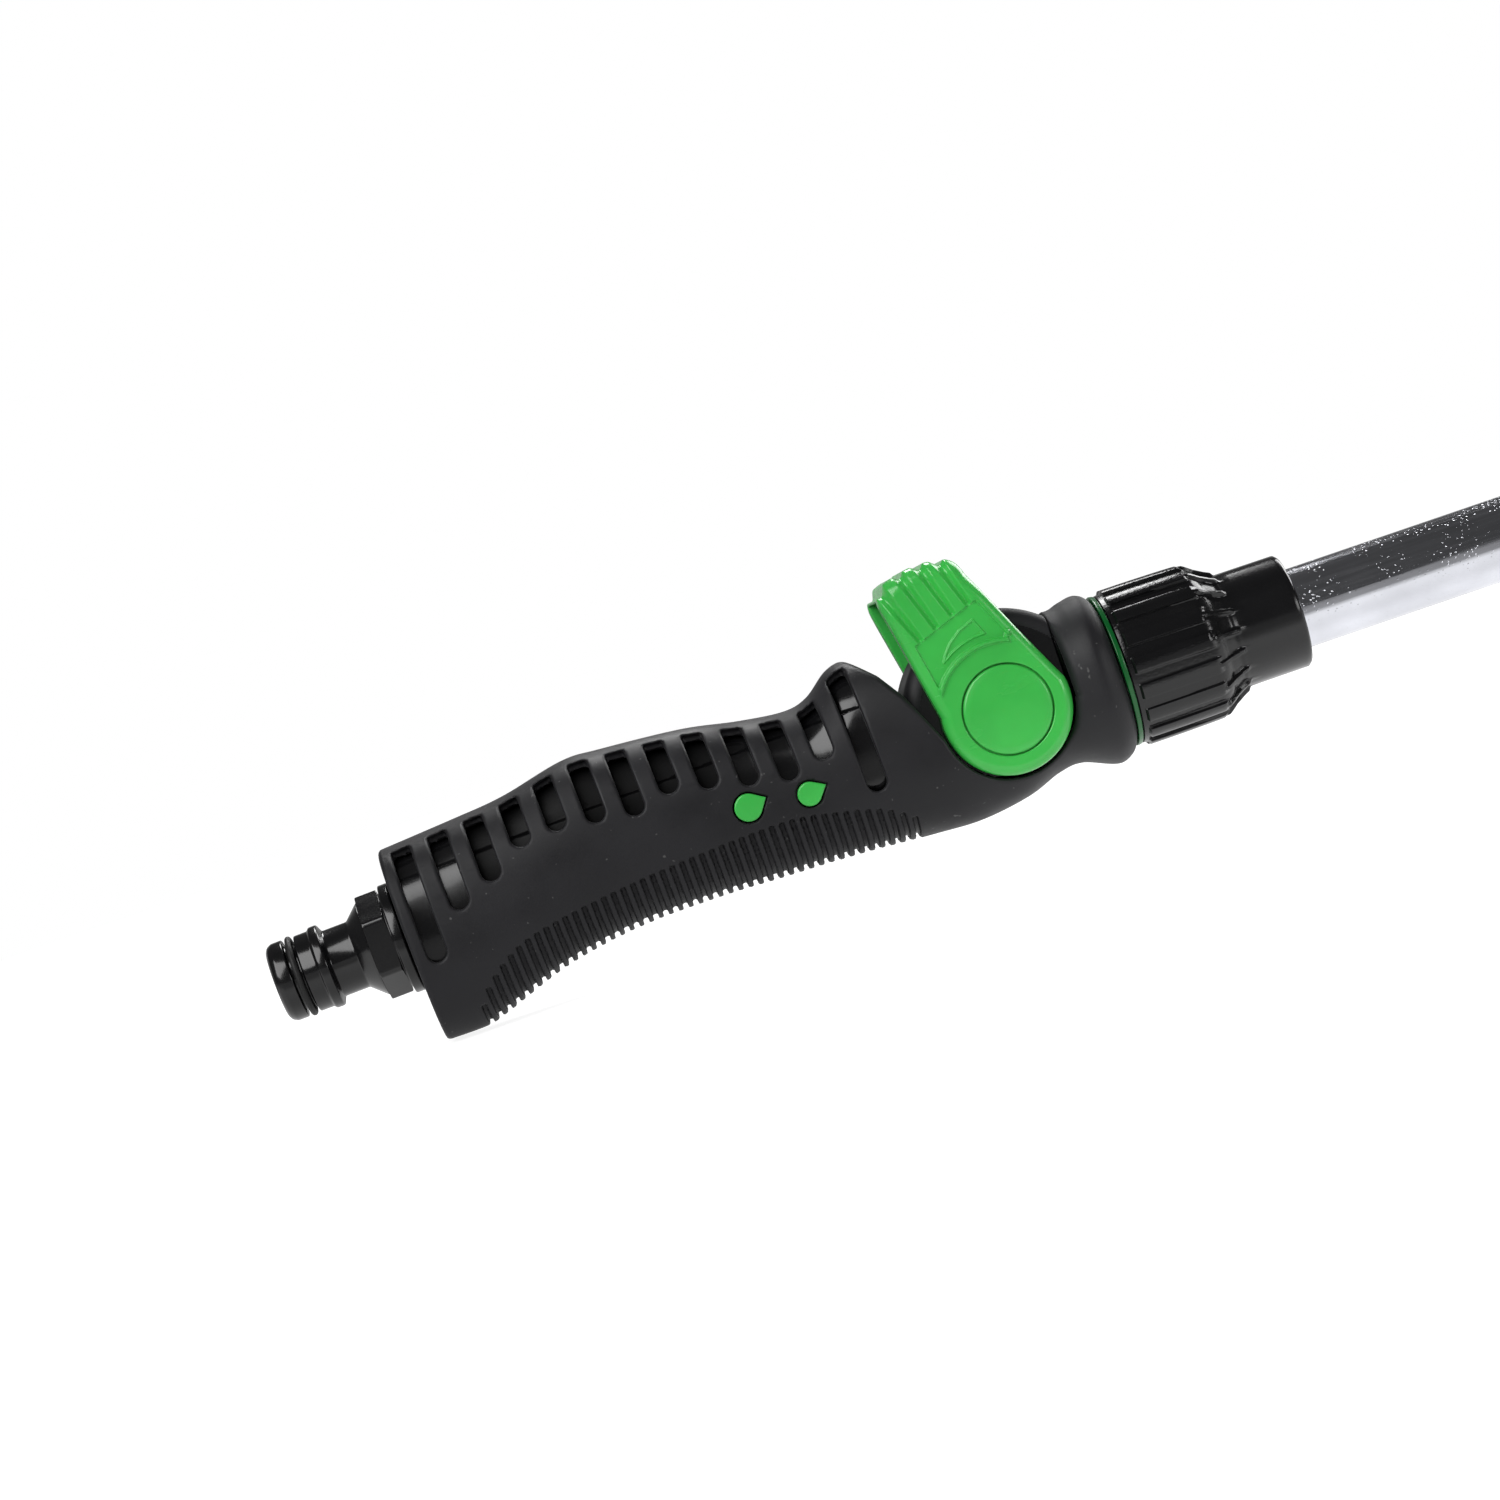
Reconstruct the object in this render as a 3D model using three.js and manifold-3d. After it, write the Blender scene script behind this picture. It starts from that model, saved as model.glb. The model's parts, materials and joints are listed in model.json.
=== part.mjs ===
// A hand-held watering wand: soft grip with a thumb-lever valve, quick-connect hose end, ribbed
// union nut that clamps the tube, and a shower rose. Millimetres, +X towards the rose, +Z up.
// The origin lies under the middle of the wand, on the surface that it lies on. Every x and z below
// is measured from the lever's pivot, which PIVOT places.
import * as THREE from 'three';
import { mergeVertices } from 'three/addons/utils/BufferGeometryUtils.js';
import Module from 'manifold-3d';

// ---- Driving dimensions -----------------------------------------------------------------------

const PIVOT = new THREE.Vector3(-155, 0, 26);
const GAP = 0.3; // between pieces that touch
const GRIP_TILT = THREE.MathUtils.degToRad(2); // the grip droops towards its rear
const FAR = 60; // beyond anything on the wand's section, for cutting tools

// Grip outline: [x, value] stations, joined by smooth curves
const GRIP_REAR = -122.5;
const GRIP_FRONT = 22.9;
const GRIP_TOP = [
  [-126, 12.8], [-108, 14.2], [-97, 15.3], [-84, 18.1], [-76, 17.9], [-60, 16.5], [-49, 14.4], [-40, 13.3],
  [-35, 14.4], [-30, 18.0], [-26, 19.1], [-20, 19.4], [0, 19.3], [8, 17.2], [14, 15.4], [17.5, 16.1],
  [20.5, 16.5], [23, 15.1],
];
const GRIP_BOTTOM = [
  [-126, -26.3], [-115, -26.3], [-108.8, -24.5], [-95, -19.8], [-80, -17.3], [-65, -16.8], [-50, -17.2],
  [-35, -17.7], [-20, -18.7], [-10, -19.1], [0, -17.7], [7, -15.3], [12, -14.9], [19, -17.4], [23, -15.3],
];
const GRIP_HALF_WIDTH = [
  [-126, 16.2], [-100, 15.6], [-75, 14.8], [-50, 14.2], [-30, 15.2], [-12, 16.0], [4, 15.9], [12, 15.1],
  [19, 16.9], [23, 15.2],
];
const GRIP_SQUARENESS = 2.35; // exponent of the superellipse section, 2 is an ellipse
const GRIP_STEP = 6; // between the sections
const REST_LEVEL = -25.8; // flat under the rear lip
const SKIN_THICKNESS = 2;
const CORE_WALL = 2.5;
const CORE_FRONT = -24.3;
const CORE_REAR_WALL = 9;

// Slots through the skin, perpendicular to the grip's axis, and the height of each one's foot
const SLOT_WIDTH = 3.9;
const SLOT_FIRST = -118;
const SLOT_PITCH = 7.48;
const SLOT_FEET = [-6.4, 1.4, 4.3, 8.4, 8.8, 7.6, 6.2, 7.8, 6.0, 3.8, 2.0, 3.5, -5.9];
const SPINE_HALF_WIDTH = 5.5; // skin left whole along the top
const SLOT_HEADROOM = 1; // from a slot's head to the grip's top

// Drop-shaped inlays: middle and radius of the round end, and how far the tip reaches from there
const DROP_FRONT = { x: -41, z: -3.1, radius: 2.35, reach: 3.6 };
const DROP_REAR = { x: -52.9, z: -1.8, radius: 2.7, reach: 3.9 };
const DROP_LEAN = THREE.MathUtils.degToRad(12);
const INLAY_PROUD = 0.2;

// Valve
const BARREL_RADIUS = 19.6;
const BARREL_HALF_WIDTH = 10.2;
const BARREL_FOOT = -3;
const PLUG_BORE_RADIUS = 12;
const PLUG_RADIUS = 11.5;
const PLUG_HALF_LENGTH = 9.8;
const PORT_RADIUS = 3;
const LEVER_FORWARD = THREE.MathUtils.degToRad(16); // from rest to fully open
const DRIVE_SIDE = 9; // square ends of the plug, which the lever turns
const DRIVE_REACH = 11.9;
const CHANNEL_RADIUS = 4;
const SEAT_RADIUS = 5.9;
const SEAT_BACK = 14.4;
const PLUG_SEAL = { reach: 8.2, radius: 10.85, thickness: 0.8, groove: 9.75, width: 2.2 };

// Lever
const BOSS_RADIUS = 12.7;
const WINDOW_RADIUS = 13.3;
const WINDOW_FRONT = 13.4;
const NOTCH_REAR = [[-28, 21], [-21.3, 14], [-18.1, 8.9], [-13.2, -1.9]];
const LEVER_INNER = 10.5;
const LEVER_OUTER = 15.6;
const BRIDGE_RADIUS = 20.1; // inside of the yoke, over the barrel
const PAD_HOLLOW = [[-30, 12], [-30, 27], [-13.5, 27.4], [-3.5, 27.6], [-2.2, 25.6], [1.6, 17.6], [0, 12]];
const RIB_GROOVE_RADIUS = 1.5;
const RIB_GROOVES = [[-16.3, 30.9], [-12.4, 32.5], [-8.4, 33.2], [-4.4, 32.7]];
const CAP_RADIUS = 8.6;
const CAP_SEAT = 14.6;
const CAP_CROWN = 16.4;
const SCREW = { radius: 1.5, head: 3, headSeat: 13.3, headTop: 14.4, tip: 4.6, socket: 1.3 };

// Hose connector, along the grip's axis
const CONNECTOR_TIP = -149.5;
const CONNECTOR_BORE = 4.2;
const FLANGE_RADIUS = 11;
const CONNECTOR_SEAT = -121.6; // the washer's front face
const HEXAGON = { corner: 10.6, length: 4.4, middle: 21.8 };
const NOSE_SEAL = { distance: 4.8, radius: 7.5, thickness: 0.6 };
const STEM_RADIUS = 9;
const STEM_END = -106;

// Pipe from the connector to the valve
const PIPE_RADIUS = 6;
const PIPE_BORE = 4.5;
const PIPE_START = -111.7;
const PIPE_END = -17;
const PIPE_SEAL = { radius: 7.1, thickness: 0.75, pocket: 8.1, depth: 1.5, rear: -107.5, front: -21.5 };

// Tube, its clamp and the union nut
const TUBE_RADIUS = 8;
const TUBE_BORE = 7;
const TUBE_START = 24.8;
const TUBE_END = 420;
const TUBE_SEAL = { x: 30, radius: 9.15, thickness: 0.75, groove: 10.3, width: 2.2 };
const TRIM_RADIUS = 15.7;
const SPIGOT_RADIUS = 12.6;
const SPIGOT_START = 18;
const SPIGOT_END = 36;
const NUT = { rear: 24.5, shoulder: 42.3, cone: 47.2, front: 60.5, sleeve: 11.4, bore: 12.95 };
const NUT_RIBS = 18;
const NUT_RADIUS = 15.9;
const NUT_GROOVE_RADIUS = 15.3;
const COLLET = { rear: 36.4, shoulder: 37.6, front: 43.5, radius: 11.2, nose: 9.6, slit: 1.6 };
const WASHER = { rear: 43.9, front: 45.1, radius: 10.6 };

// Shower rose
const FITTING = { rear: 408, stop: 420.3, front: 432, radius: 13 };
const ROSE_WASHER = { rear: 432.3, front: 434.3 };
const SHELL_RADIUS = 23.5;
const SHELL_BORE = 21.5;
const SHELL_FRONT = 456.3;
const ROSE_RADIUS = 26;
const FACE_BACK = 457.6;
const FACE_FRONT = 458.6;
const FACE_HOLE_RADIUS = 0.8;
const FACE_HOLE_ROWS = [[6, 8], [12, 16]]; // holes and their circle's radius
const ROSE_FRONT = 460.2;
const ROSE_SCREW_HOLE = 1.8;
const ROSE_SCREW_TIP = 445;

// Finishes
const BLACK_RUBBER = { color: '#1b1b1d', roughness: 0.62, metalness: 0 };
const BLACK_GLOSS = { color: '#101012', roughness: 0.16, metalness: 0 };
const SEAL_RUBBER = { color: '#161616', roughness: 0.7, metalness: 0 };
const GREEN_GLOSS = { color: '#42b94f', roughness: 0.25, metalness: 0 };
const DARK_GREEN = { color: '#178a36', roughness: 0.3, metalness: 0 };
const WHITE_PLASTIC = { color: '#d9d9d4', roughness: 0.4, metalness: 0 };
const ALUMINIUM = { color: '#c9ccd0', roughness: 0.25, metalness: 1 };
const STEEL = { color: '#a9abae', roughness: 0.3, metalness: 1 };

// ---- Solids -----------------------------------------------------------------------------------

const wasm = await Module();
wasm.setup();

// Only the positions, with shared vertices merged.
function bare(geometry) {
  geometry.deleteAttribute('normal');
  geometry.deleteAttribute('uv');
  return mergeVertices(geometry, 1e-4);
}

// A closed three.js geometry as a solid: slivers dropped, faces pointing out.
function solid(geometry) {
  const merged = bare(geometry);
  const corners = merged.getIndex().array;
  const outward = [];
  const inward = [];
  for (let i = 0; i < corners.length; i += 3) {
    const [a, b, c] = corners.slice(i, i + 3);
    if (a !== b && b !== c && c !== a) {
      outward.push(a, b, c);
      inward.push(a, c, b);
    }
  }
  const vertProperties = merged.getAttribute('position').array;
  const build = (triangles) => new wasm.Manifold(
    new wasm.Mesh({ numProp: 3, vertProperties, triVerts: Uint32Array.from(triangles) }),
  );
  const shape = build(outward);
  return shape.volume() > 0 ? shape : build(inward);
}

const asSolid = (shape) => (shape.isBufferGeometry ? solid(shape) : shape);

function join(...shapes) {
  return shapes.map(asSolid).reduce((sum, shape) => sum.add(shape));
}

function cut(base, ...tools) {
  return tools.map(asSolid).reduce((rest, tool) => rest.subtract(tool), asSolid(base));
}

function common(first, second) {
  return asSolid(first).intersect(asSolid(second));
}

// Turned about X from [x, radius] points that start and end on the axis, or close on themselves.
function turned(points, segments = 20) {
  const profile = points.map(([x, radius]) => new THREE.Vector2(radius, x));
  return new THREE.LatheGeometry(profile, segments).rotateZ(-Math.PI / 2);
}

function rod(start, end, radius, segments) {
  return turned([[start, 0], [start, radius], [end, radius], [end, 0]], segments);
}

function ring(start, end, inner, outer, segments) {
  return turned([[start, inner], [end, inner], [end, outer], [start, outer], [start, inner]], segments);
}

function sealRing(x, radius, thickness) {
  return new THREE.TorusGeometry(radius, thickness, 6, 16).rotateY(Math.PI / 2).translate(x, 0, 0);
}

// A round bar lying across the wand.
function crossBar(y0, y1, radius, segments = 20) {
  return new THREE.CylinderGeometry(radius, radius, y1 - y0, segments).translate(0, (y0 + y1) / 2, 0);
}

// An outline in X and Z, extruded from y0 to y1.
function acrossY(outline, y0, y1, curveSegments = 8) {
  const options = { depth: y1 - y0, bevelEnabled: false, curveSegments };
  return new THREE.ExtrudeGeometry(outline, options).rotateX(Math.PI / 2).translate(0, y1, 0);
}

// An outline in Y and Z, extruded from x0 to x1.
function alongX(outline, x0, x1) {
  const bar = new THREE.ExtrudeGeometry(outline, { depth: x1 - x0, bevelEnabled: false });
  return bar.rotateX(Math.PI / 2).rotateZ(Math.PI / 2).translate(x0, 0, 0);
}

function block(x0, x1, y0, y1, z0, z1) {
  const box = new THREE.BoxGeometry(x1 - x0, y1 - y0, z1 - z0);
  return box.translate((x0 + x1) / 2, (y0 + y1) / 2, (z0 + z1) / 2);
}

function inGripFrame(geometry) {
  return geometry.rotateY(-GRIP_TILT);
}

// ---- Grip surface -----------------------------------------------------------------------------

// A smooth function of x through [x, value] stations.
function through(stations) {
  const curve = new THREE.SplineCurve(stations.map(([x, value]) => new THREE.Vector2(x, value)));
  const samples = curve.getPoints(stations.length * 12);
  return (x) => {
    const found = samples.findIndex((sample) => sample.x >= x);
    const after = found > 0 ? found : samples.length - 1;
    const [a, b] = [samples[after - 1], samples[after]];
    return THREE.MathUtils.mapLinear(x, a.x, b.x, a.y, b.y);
  };
}

const gripTop = through(GRIP_TOP);
const gripBottom = through(GRIP_BOTTOM);
const gripHalfWidth = through(GRIP_HALF_WIDTH);

// The grip's outer surface moved inwards by inset.
function gripLoft(inset, around = 16, step = GRIP_STEP) {
  const [x0, x1] = [GRIP_REAR - 3, GRIP_FRONT];
  const geometry = new THREE.CylinderGeometry(1, 1, 1, around, Math.ceil((x1 - x0) / step));
  const position = geometry.getAttribute('position');
  const bulge = (value) => Math.sign(value) * Math.abs(value) ** (2 / GRIP_SQUARENESS);
  for (let i = 0; i < position.count; i += 1) {
    const x = THREE.MathUtils.lerp(x0, x1, 0.5 - position.getY(i));
    const middle = (gripTop(x) + gripBottom(x)) / 2;
    const halfHeight = (gripTop(x) - gripBottom(x)) / 2 - inset;
    const halfWidth = gripHalfWidth(x) - inset;
    position.setXYZ(i, x, halfWidth * bulge(position.getX(i)), middle + halfHeight * bulge(position.getZ(i)));
  }
  return geometry;
}

function between(x0, x1, shape) {
  return common(shape, block(x0, x1, -FAR, FAR, -FAR, FAR));
}

// Everything behind the grip's rear face, which is square to the grip's axis.
function behindGrip() {
  return inGripFrame(block(GRIP_REAR - FAR, GRIP_REAR, -FAR, FAR, -FAR, FAR));
}

// Room for the lever's arm: a V-shaped notch behind it and a step in front.
function leverNotch() {
  const corners = [...NOTCH_REAR, [WINDOW_FRONT, -1.9], [WINDOW_FRONT, 24], [-28, 24]];
  const outline = new THREE.Shape(corners.map(([x, z]) => new THREE.Vector2(x, z)));
  return acrossY(outline, -FAR, FAR);
}

// Round windows for the lever's bosses, on both sides from inner outwards.
function bossWindows(inner) {
  return [1, -1].map((side) => crossBar(...sideSpan(side, inner, FAR), WINDOW_RADIUS, 32));
}

// A slot through the skin on one side, 1 or -1.
function slot(index, side) {
  const x = SLOT_FIRST + SLOT_PITCH * index;
  const radius = SLOT_WIDTH / 2;
  const head = gripTop(x) - x * Math.sin(GRIP_TILT) - SLOT_HEADROOM - radius;
  const outline = new THREE.Shape();
  outline.absarc(x, head, radius, 0, Math.PI, false);
  outline.absarc(x, SLOT_FEET[index] + radius, radius, Math.PI, 2 * Math.PI, false);
  return inGripFrame(acrossY(outline, ...sideSpan(side, SPINE_HALF_WIDTH, FAR), 2));
}

// The y range from inner to outer on one side.
function sideSpan(side, inner, outer) {
  return side > 0 ? [inner, outer] : [-outer, -inner];
}

// A prism with a drop's outline, grown by margin, its tip towards the rose.
function dropPrism({ x, z, radius, reach }, side, margin) {
  const tangent = Math.acos(radius / reach);
  const tip = reach * (radius + margin) / radius;
  const outline = new THREE.Shape();
  outline.absarc(x, z, radius + margin, DROP_LEAN + tangent, DROP_LEAN - tangent + 2 * Math.PI, false);
  outline.lineTo(x + tip * Math.cos(DROP_LEAN), z + tip * Math.sin(DROP_LEAN));
  return acrossY(outline, ...sideSpan(side, 6, FAR));
}

// ---- Handle -----------------------------------------------------------------------------------

function gripSkin() {
  const sides = [1, -1];
  const slots = SLOT_FEET.flatMap((foot, index) => sides.map((side) => slot(index, side)));
  const pockets = [DROP_FRONT, DROP_REAR].flatMap((drop) => sides.map((side) => dropPrism(drop, side, GAP)));
  const belowRest = block(-FAR * 3, 0, -FAR, FAR, -FAR, REST_LEVEL);
  const shell = cut(gripLoft(0), gripLoft(SKIN_THICKNESS));
  return cut(shell, behindGrip(), leverNotch(), belowRest, ...bossWindows(0), ...slots, ...pockets);
}

function gripCore() {
  const outside = between(GRIP_REAR - FAR, CORE_FRONT, gripLoft(SKIN_THICKNESS + GAP));
  const inside = gripLoft(SKIN_THICKNESS + GAP + CORE_WALL, 12, 12);
  const hollow = between(GRIP_REAR + CORE_REAR_WALL, 0, inside);
  const stemHole = inGripFrame(rod(GRIP_REAR - FAR, STEM_END, STEM_RADIUS + GAP));
  const washerSeat = inGripFrame(rod(GRIP_REAR - FAR, CONNECTOR_SEAT + GAP, FLANGE_RADIUS));
  return cut(outside, behindGrip(), hollow, stemHole, washerSeat);
}

function valveHousing() {
  const { x: sealX, groove, width } = TUBE_SEAL;
  const inSkin = between(CORE_FRONT + GAP, GRIP_FRONT - GAP, gripLoft(SKIN_THICKNESS + GAP));
  const belly = cut(inSkin, leverNotch(), ...bossWindows(BARREL_HALF_WIDTH));
  const barrel = common(
    crossBar(-BARREL_HALF_WIDTH, BARREL_HALF_WIDTH, BARREL_RADIUS, 40),
    block(-FAR, WINDOW_FRONT - GAP, -FAR, FAR, BARREL_FOOT, FAR),
  );
  const spigot = rod(SPIGOT_START, SPIGOT_END, SPIGOT_RADIUS, 32);
  return cut(
    join(belly, barrel, spigot),
    crossBar(-FAR, FAR, PLUG_BORE_RADIUS),
    inGripFrame(rod(-FAR, 0, CHANNEL_RADIUS)),
    inGripFrame(rod(-FAR, PIPE_END + GAP, PIPE_RADIUS + GAP)),
    inGripFrame(rod(-FAR, PIPE_SEAL.front + PIPE_SEAL.depth, PIPE_SEAL.pocket)),
    inGripFrame(rod(-SEAT_BACK - GAP, 0, SEAT_RADIUS + GAP)),
    rod(0, SEAT_BACK + GAP, SEAT_RADIUS + GAP),
    rod(0, FAR, CHANNEL_RADIUS),
    rod(TUBE_START - GAP, FAR, TUBE_RADIUS + GAP),
    ring(sealX - width / 2, sealX + width / 2, TUBE_RADIUS, groove),
  );
}

// A seat ring, hollowed to the plug's round face; side is -1 at the inlet and 1 at the outlet.
function valveSeat(side) {
  const flat = ring(9, SEAT_BACK, PORT_RADIUS, SEAT_RADIUS, 20);
  if (side < 0) {
    inGripFrame(flat.rotateZ(Math.PI));
  }
  return cut(flat, crossBar(-FAR, FAR, PLUG_RADIUS + GAP, 48));
}

function inletPipe() {
  return solid(inGripFrame(ring(PIPE_START, PIPE_END, PIPE_BORE, PIPE_RADIUS, 20)));
}

function pipeSeal(x) {
  return solid(inGripFrame(sealRing(x, PIPE_SEAL.radius, PIPE_SEAL.thickness)));
}

// Nose with an O-ring groove and a ridge, neck, hexagon, flange and the stem inside the grip.
function hoseConnector() {
  const at = (distance) => CONNECTOR_TIP + distance;
  const nose = [[0, 6.6], [0.5, 7.4], [1.4, 7.85], [3.6, 7.85], [3.6, 6.6], [6, 6.6], [6, 7.7], [8.8, 7.7]];
  const waist = [[9.2, 8.25], [10.8, 8.25], [11.5, 6.7], [16.5, 6.7], [19.2, 9.2], [24, 9.2]];
  const flange = [[24, 10.4], [24.5, FLANGE_RADIUS], [26.4, FLANGE_RADIUS]];
  const outside = [...nose, ...waist, ...flange].map(([distance, radius]) => [at(distance), radius]);
  const stem = [[at(26.4), STEM_RADIUS], [STEM_END, STEM_RADIUS], [STEM_END, 0]];
  const body = turned([[at(0), 0], ...outside, ...stem]);
  const { corner, length, middle } = HEXAGON;
  const hexagon = new THREE.CylinderGeometry(corner, corner, length, 6).rotateZ(Math.PI / 2);
  const connector = cut(
    join(body, hexagon.translate(at(middle), 0, 0)),
    rod(at(-1), 0, CONNECTOR_BORE),
    rod(PIPE_START - GAP, 0, PIPE_RADIUS + GAP),
    rod(PIPE_SEAL.rear - PIPE_SEAL.depth, 0, PIPE_SEAL.pocket),
  );
  return connector.rotate([0, -THREE.MathUtils.radToDeg(GRIP_TILT), 0]);
}

function connectorSeal() {
  const { distance, radius, thickness } = NOSE_SEAL;
  return solid(inGripFrame(sealRing(CONNECTOR_TIP + distance, radius, thickness)));
}

// A flat washer between the flange and its seat in the core.
function connectorWasher() {
  return solid(inGripFrame(ring(GRIP_REAR - GAP, CONNECTOR_SEAT, STEM_RADIUS + GAP, FLANGE_RADIUS - GAP)));
}

// A drop that stands slightly proud of the skin and rests on the core.
function dropInlay(drop, side) {
  const shell = cut(gripLoft(-INLAY_PROUD), gripLoft(SKIN_THICKNESS));
  return common(shell, dropPrism(drop, side, 0));
}

function trimRing() {
  return solid(ring(GRIP_FRONT + GAP, NUT.rear - GAP, SPIGOT_RADIUS + GAP, TRIM_RADIUS, 28));
}

function tubeSeal() {
  return solid(sealRing(TUBE_SEAL.x, TUBE_SEAL.radius, TUBE_SEAL.thickness));
}

// ---- Lever and plug ---------------------------------------------------------------------------

// The yoke seen from the side: a round boss and an arm that leans back to a rounded thumb pad.
function leverOutline() {
  const outline = new THREE.Shape();
  outline.moveTo(-12.5, 2.2);
  outline.lineTo(-14.7, 14);
  outline.lineTo(-16.9, 25.2);
  outline.quadraticCurveTo(-17.8, 29.4, -13.6, 30.7);
  outline.quadraticCurveTo(-7.6, 32.6, -2, 31);
  outline.quadraticCurveTo(0, 30.2, 0.7, 27.3);
  outline.lineTo(4.8, 18.4);
  outline.quadraticCurveTo(8, 11.3, 12.4, 2.6);
  outline.absarc(0, 0, BOSS_RADIUS, 0.2, Math.PI - 0.18, true);
  return outline;
}

// The room inside the yoke, under the thumb pad and open to the rear.
function padHollow() {
  const outline = new THREE.Shape(PAD_HOLLOW.map(([x, z]) => new THREE.Vector2(x, z)));
  return acrossY(outline, -LEVER_INNER, LEVER_INNER);
}

function thumbLever() {
  const sides = [1, -1];
  const half = DRIVE_SIDE / 2 + GAP;
  const grooves = RIB_GROOVES.map(([x, z]) => (
    crossBar(-FAR, FAR, RIB_GROOVE_RADIUS, 10).translate(x, 0, z)
  ));
  const squares = block(-half, half, -DRIVE_REACH - GAP, DRIVE_REACH + GAP, -half, half);
  const recesses = sides.flatMap((side) => [
    crossBar(...sideSpan(side, 0, FAR), SCREW.radius + GAP, 12),
    crossBar(...sideSpan(side, SCREW.headSeat - GAP, FAR), SCREW.head + GAP, 20),
    crossBar(...sideSpan(side, CAP_SEAT, FAR), CAP_RADIUS + GAP, 32),
  ]);
  return cut(
    acrossY(leverOutline(), -LEVER_OUTER, LEVER_OUTER, 10),
    crossBar(-LEVER_INNER, LEVER_INNER, BRIDGE_RADIUS, 40),
    padHollow(),
    squares,
    ...recesses,
    ...grooves,
  );
}

// The plug's through port lines up with the channel when the lever is fully forward.
function valvePlug() {
  const { reach, groove, width } = PLUG_SEAL;
  const half = DRIVE_SIDE / 2;
  const body = crossBar(-PLUG_HALF_LENGTH, PLUG_HALF_LENGTH, PLUG_RADIUS, 32);
  const drive = block(-half, half, -DRIVE_REACH, DRIVE_REACH, -half, half);
  const port = rod(-FAR, FAR, PORT_RADIUS, 16).rotateY(-LEVER_FORWARD);
  const cuts = [1, -1].flatMap((side) => {
    const [y0, y1] = sideSpan(side, reach - width / 2, reach + width / 2);
    return [
      cut(crossBar(y0, y1, FAR, 8), crossBar(-FAR, FAR, groove)),
      crossBar(...sideSpan(side, SCREW.tip - GAP, FAR), SCREW.radius + GAP, 12),
    ];
  });
  return cut(join(body, drive), port, ...cuts);
}

function plugSeal(side) {
  const { reach, radius, thickness } = PLUG_SEAL;
  const around = new THREE.TorusGeometry(radius, thickness, 6, 16).rotateX(Math.PI / 2);
  return solid(around.translate(0, side * reach, 0));
}

function leverScrew(side) {
  const shaft = crossBar(...sideSpan(side, SCREW.tip, SCREW.headSeat + 0.1), SCREW.radius, 12);
  const head = crossBar(...sideSpan(side, SCREW.headSeat, SCREW.headTop), SCREW.head, 20);
  const socket = crossBar(...sideSpan(side, SCREW.headTop - 0.7, FAR), SCREW.socket, 6);
  return cut(join(shaft, head), socket);
}

// A slightly domed cap over the screw.
function leverCap(side) {
  const rim = CAP_SEAT + GAP;
  const profile = [[0, rim], [CAP_RADIUS, rim], [CAP_RADIUS, 15.6], [8, 15.95], [4.5, 16.3], [0, CAP_CROWN]];
  const cap = new THREE.LatheGeometry(profile.map(([radius, y]) => new THREE.Vector2(radius, y)), 24);
  return solid(side > 0 ? cap : cap.rotateX(Math.PI));
}

// ---- Tube clamp -------------------------------------------------------------------------------

// A tapered ring with one slit, which closes on the tube as the nut draws it in.
function collet() {
  const { rear, shoulder, front, radius, nose, slit } = COLLET;
  const inner = TUBE_RADIUS + GAP;
  const profile = [
    [rear, inner], [front, inner], [front, nose], [shoulder, radius], [rear, radius], [rear, inner],
  ];
  return cut(turned(profile), block(0, FAR, -slit / 2, slit / 2, 0, FAR));
}

function thrustWasher() {
  return solid(ring(WASHER.rear, WASHER.front, TUBE_RADIUS + GAP, WASHER.radius));
}

// Raised ribs with grooves of the same width between them.
function nutOutline() {
  const outline = new THREE.Shape();
  const edge = Math.PI / NUT_RIBS / 2;
  for (let rib = 0; rib < NUT_RIBS; rib += 1) {
    const middle = 2 * Math.PI * rib / NUT_RIBS;
    const corners = [
      [-0.9, NUT_RADIUS], [0.9, NUT_RADIUS], [1.1, NUT_GROOVE_RADIUS], [2.9, NUT_GROOVE_RADIUS],
    ];
    corners.forEach(([turn, radius], corner) => {
      const angle = middle + turn * edge;
      const move = rib === 0 && corner === 0 ? 'moveTo' : 'lineTo';
      outline[move](radius * Math.cos(angle), radius * Math.sin(angle));
    });
  }
  return outline;
}

function unionNut() {
  const { rear, shoulder, cone, front, sleeve, bore } = NUT;
  const body = turned([
    [rear, 0], [rear, NUT_GROOVE_RADIUS], [shoulder, NUT_GROOVE_RADIUS], [cone, sleeve],
    [front - 0.6, sleeve], [front, sleeve - 0.6], [front, 0],
  ], NUT_RIBS * 2);
  return cut(
    join(body, alongX(nutOutline(), rear, shoulder - 2)),
    rod(rear - 1, SPIGOT_END + 2, bore),
    rod(rear, WASHER.front + GAP, COLLET.radius + GAP),
    rod(rear, FAR + 10, TUBE_RADIUS + 2 * GAP),
  );
}

// ---- Tube and rose ----------------------------------------------------------------------------

function wandTube() {
  return solid(ring(TUBE_START, TUBE_END, TUBE_BORE, TUBE_RADIUS, 28));
}

// A sleeve over the tube's end with a threaded spigot for the rose.
function tubeEndFitting() {
  const { rear, stop, front, radius } = FITTING;
  const inner = TUBE_RADIUS + GAP;
  return solid(turned([
    [rear, inner], [stop, inner], [stop, TUBE_BORE], [front, TUBE_BORE], [front, radius], [421.5, radius],
    [421, 11], [410, 10.4], [rear, 9.6], [rear, inner],
  ]));
}

function roseWasher() {
  return solid(ring(ROSE_WASHER.rear, ROSE_WASHER.front, TUBE_BORE + 0.5, FITTING.radius - 0.4));
}

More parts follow.
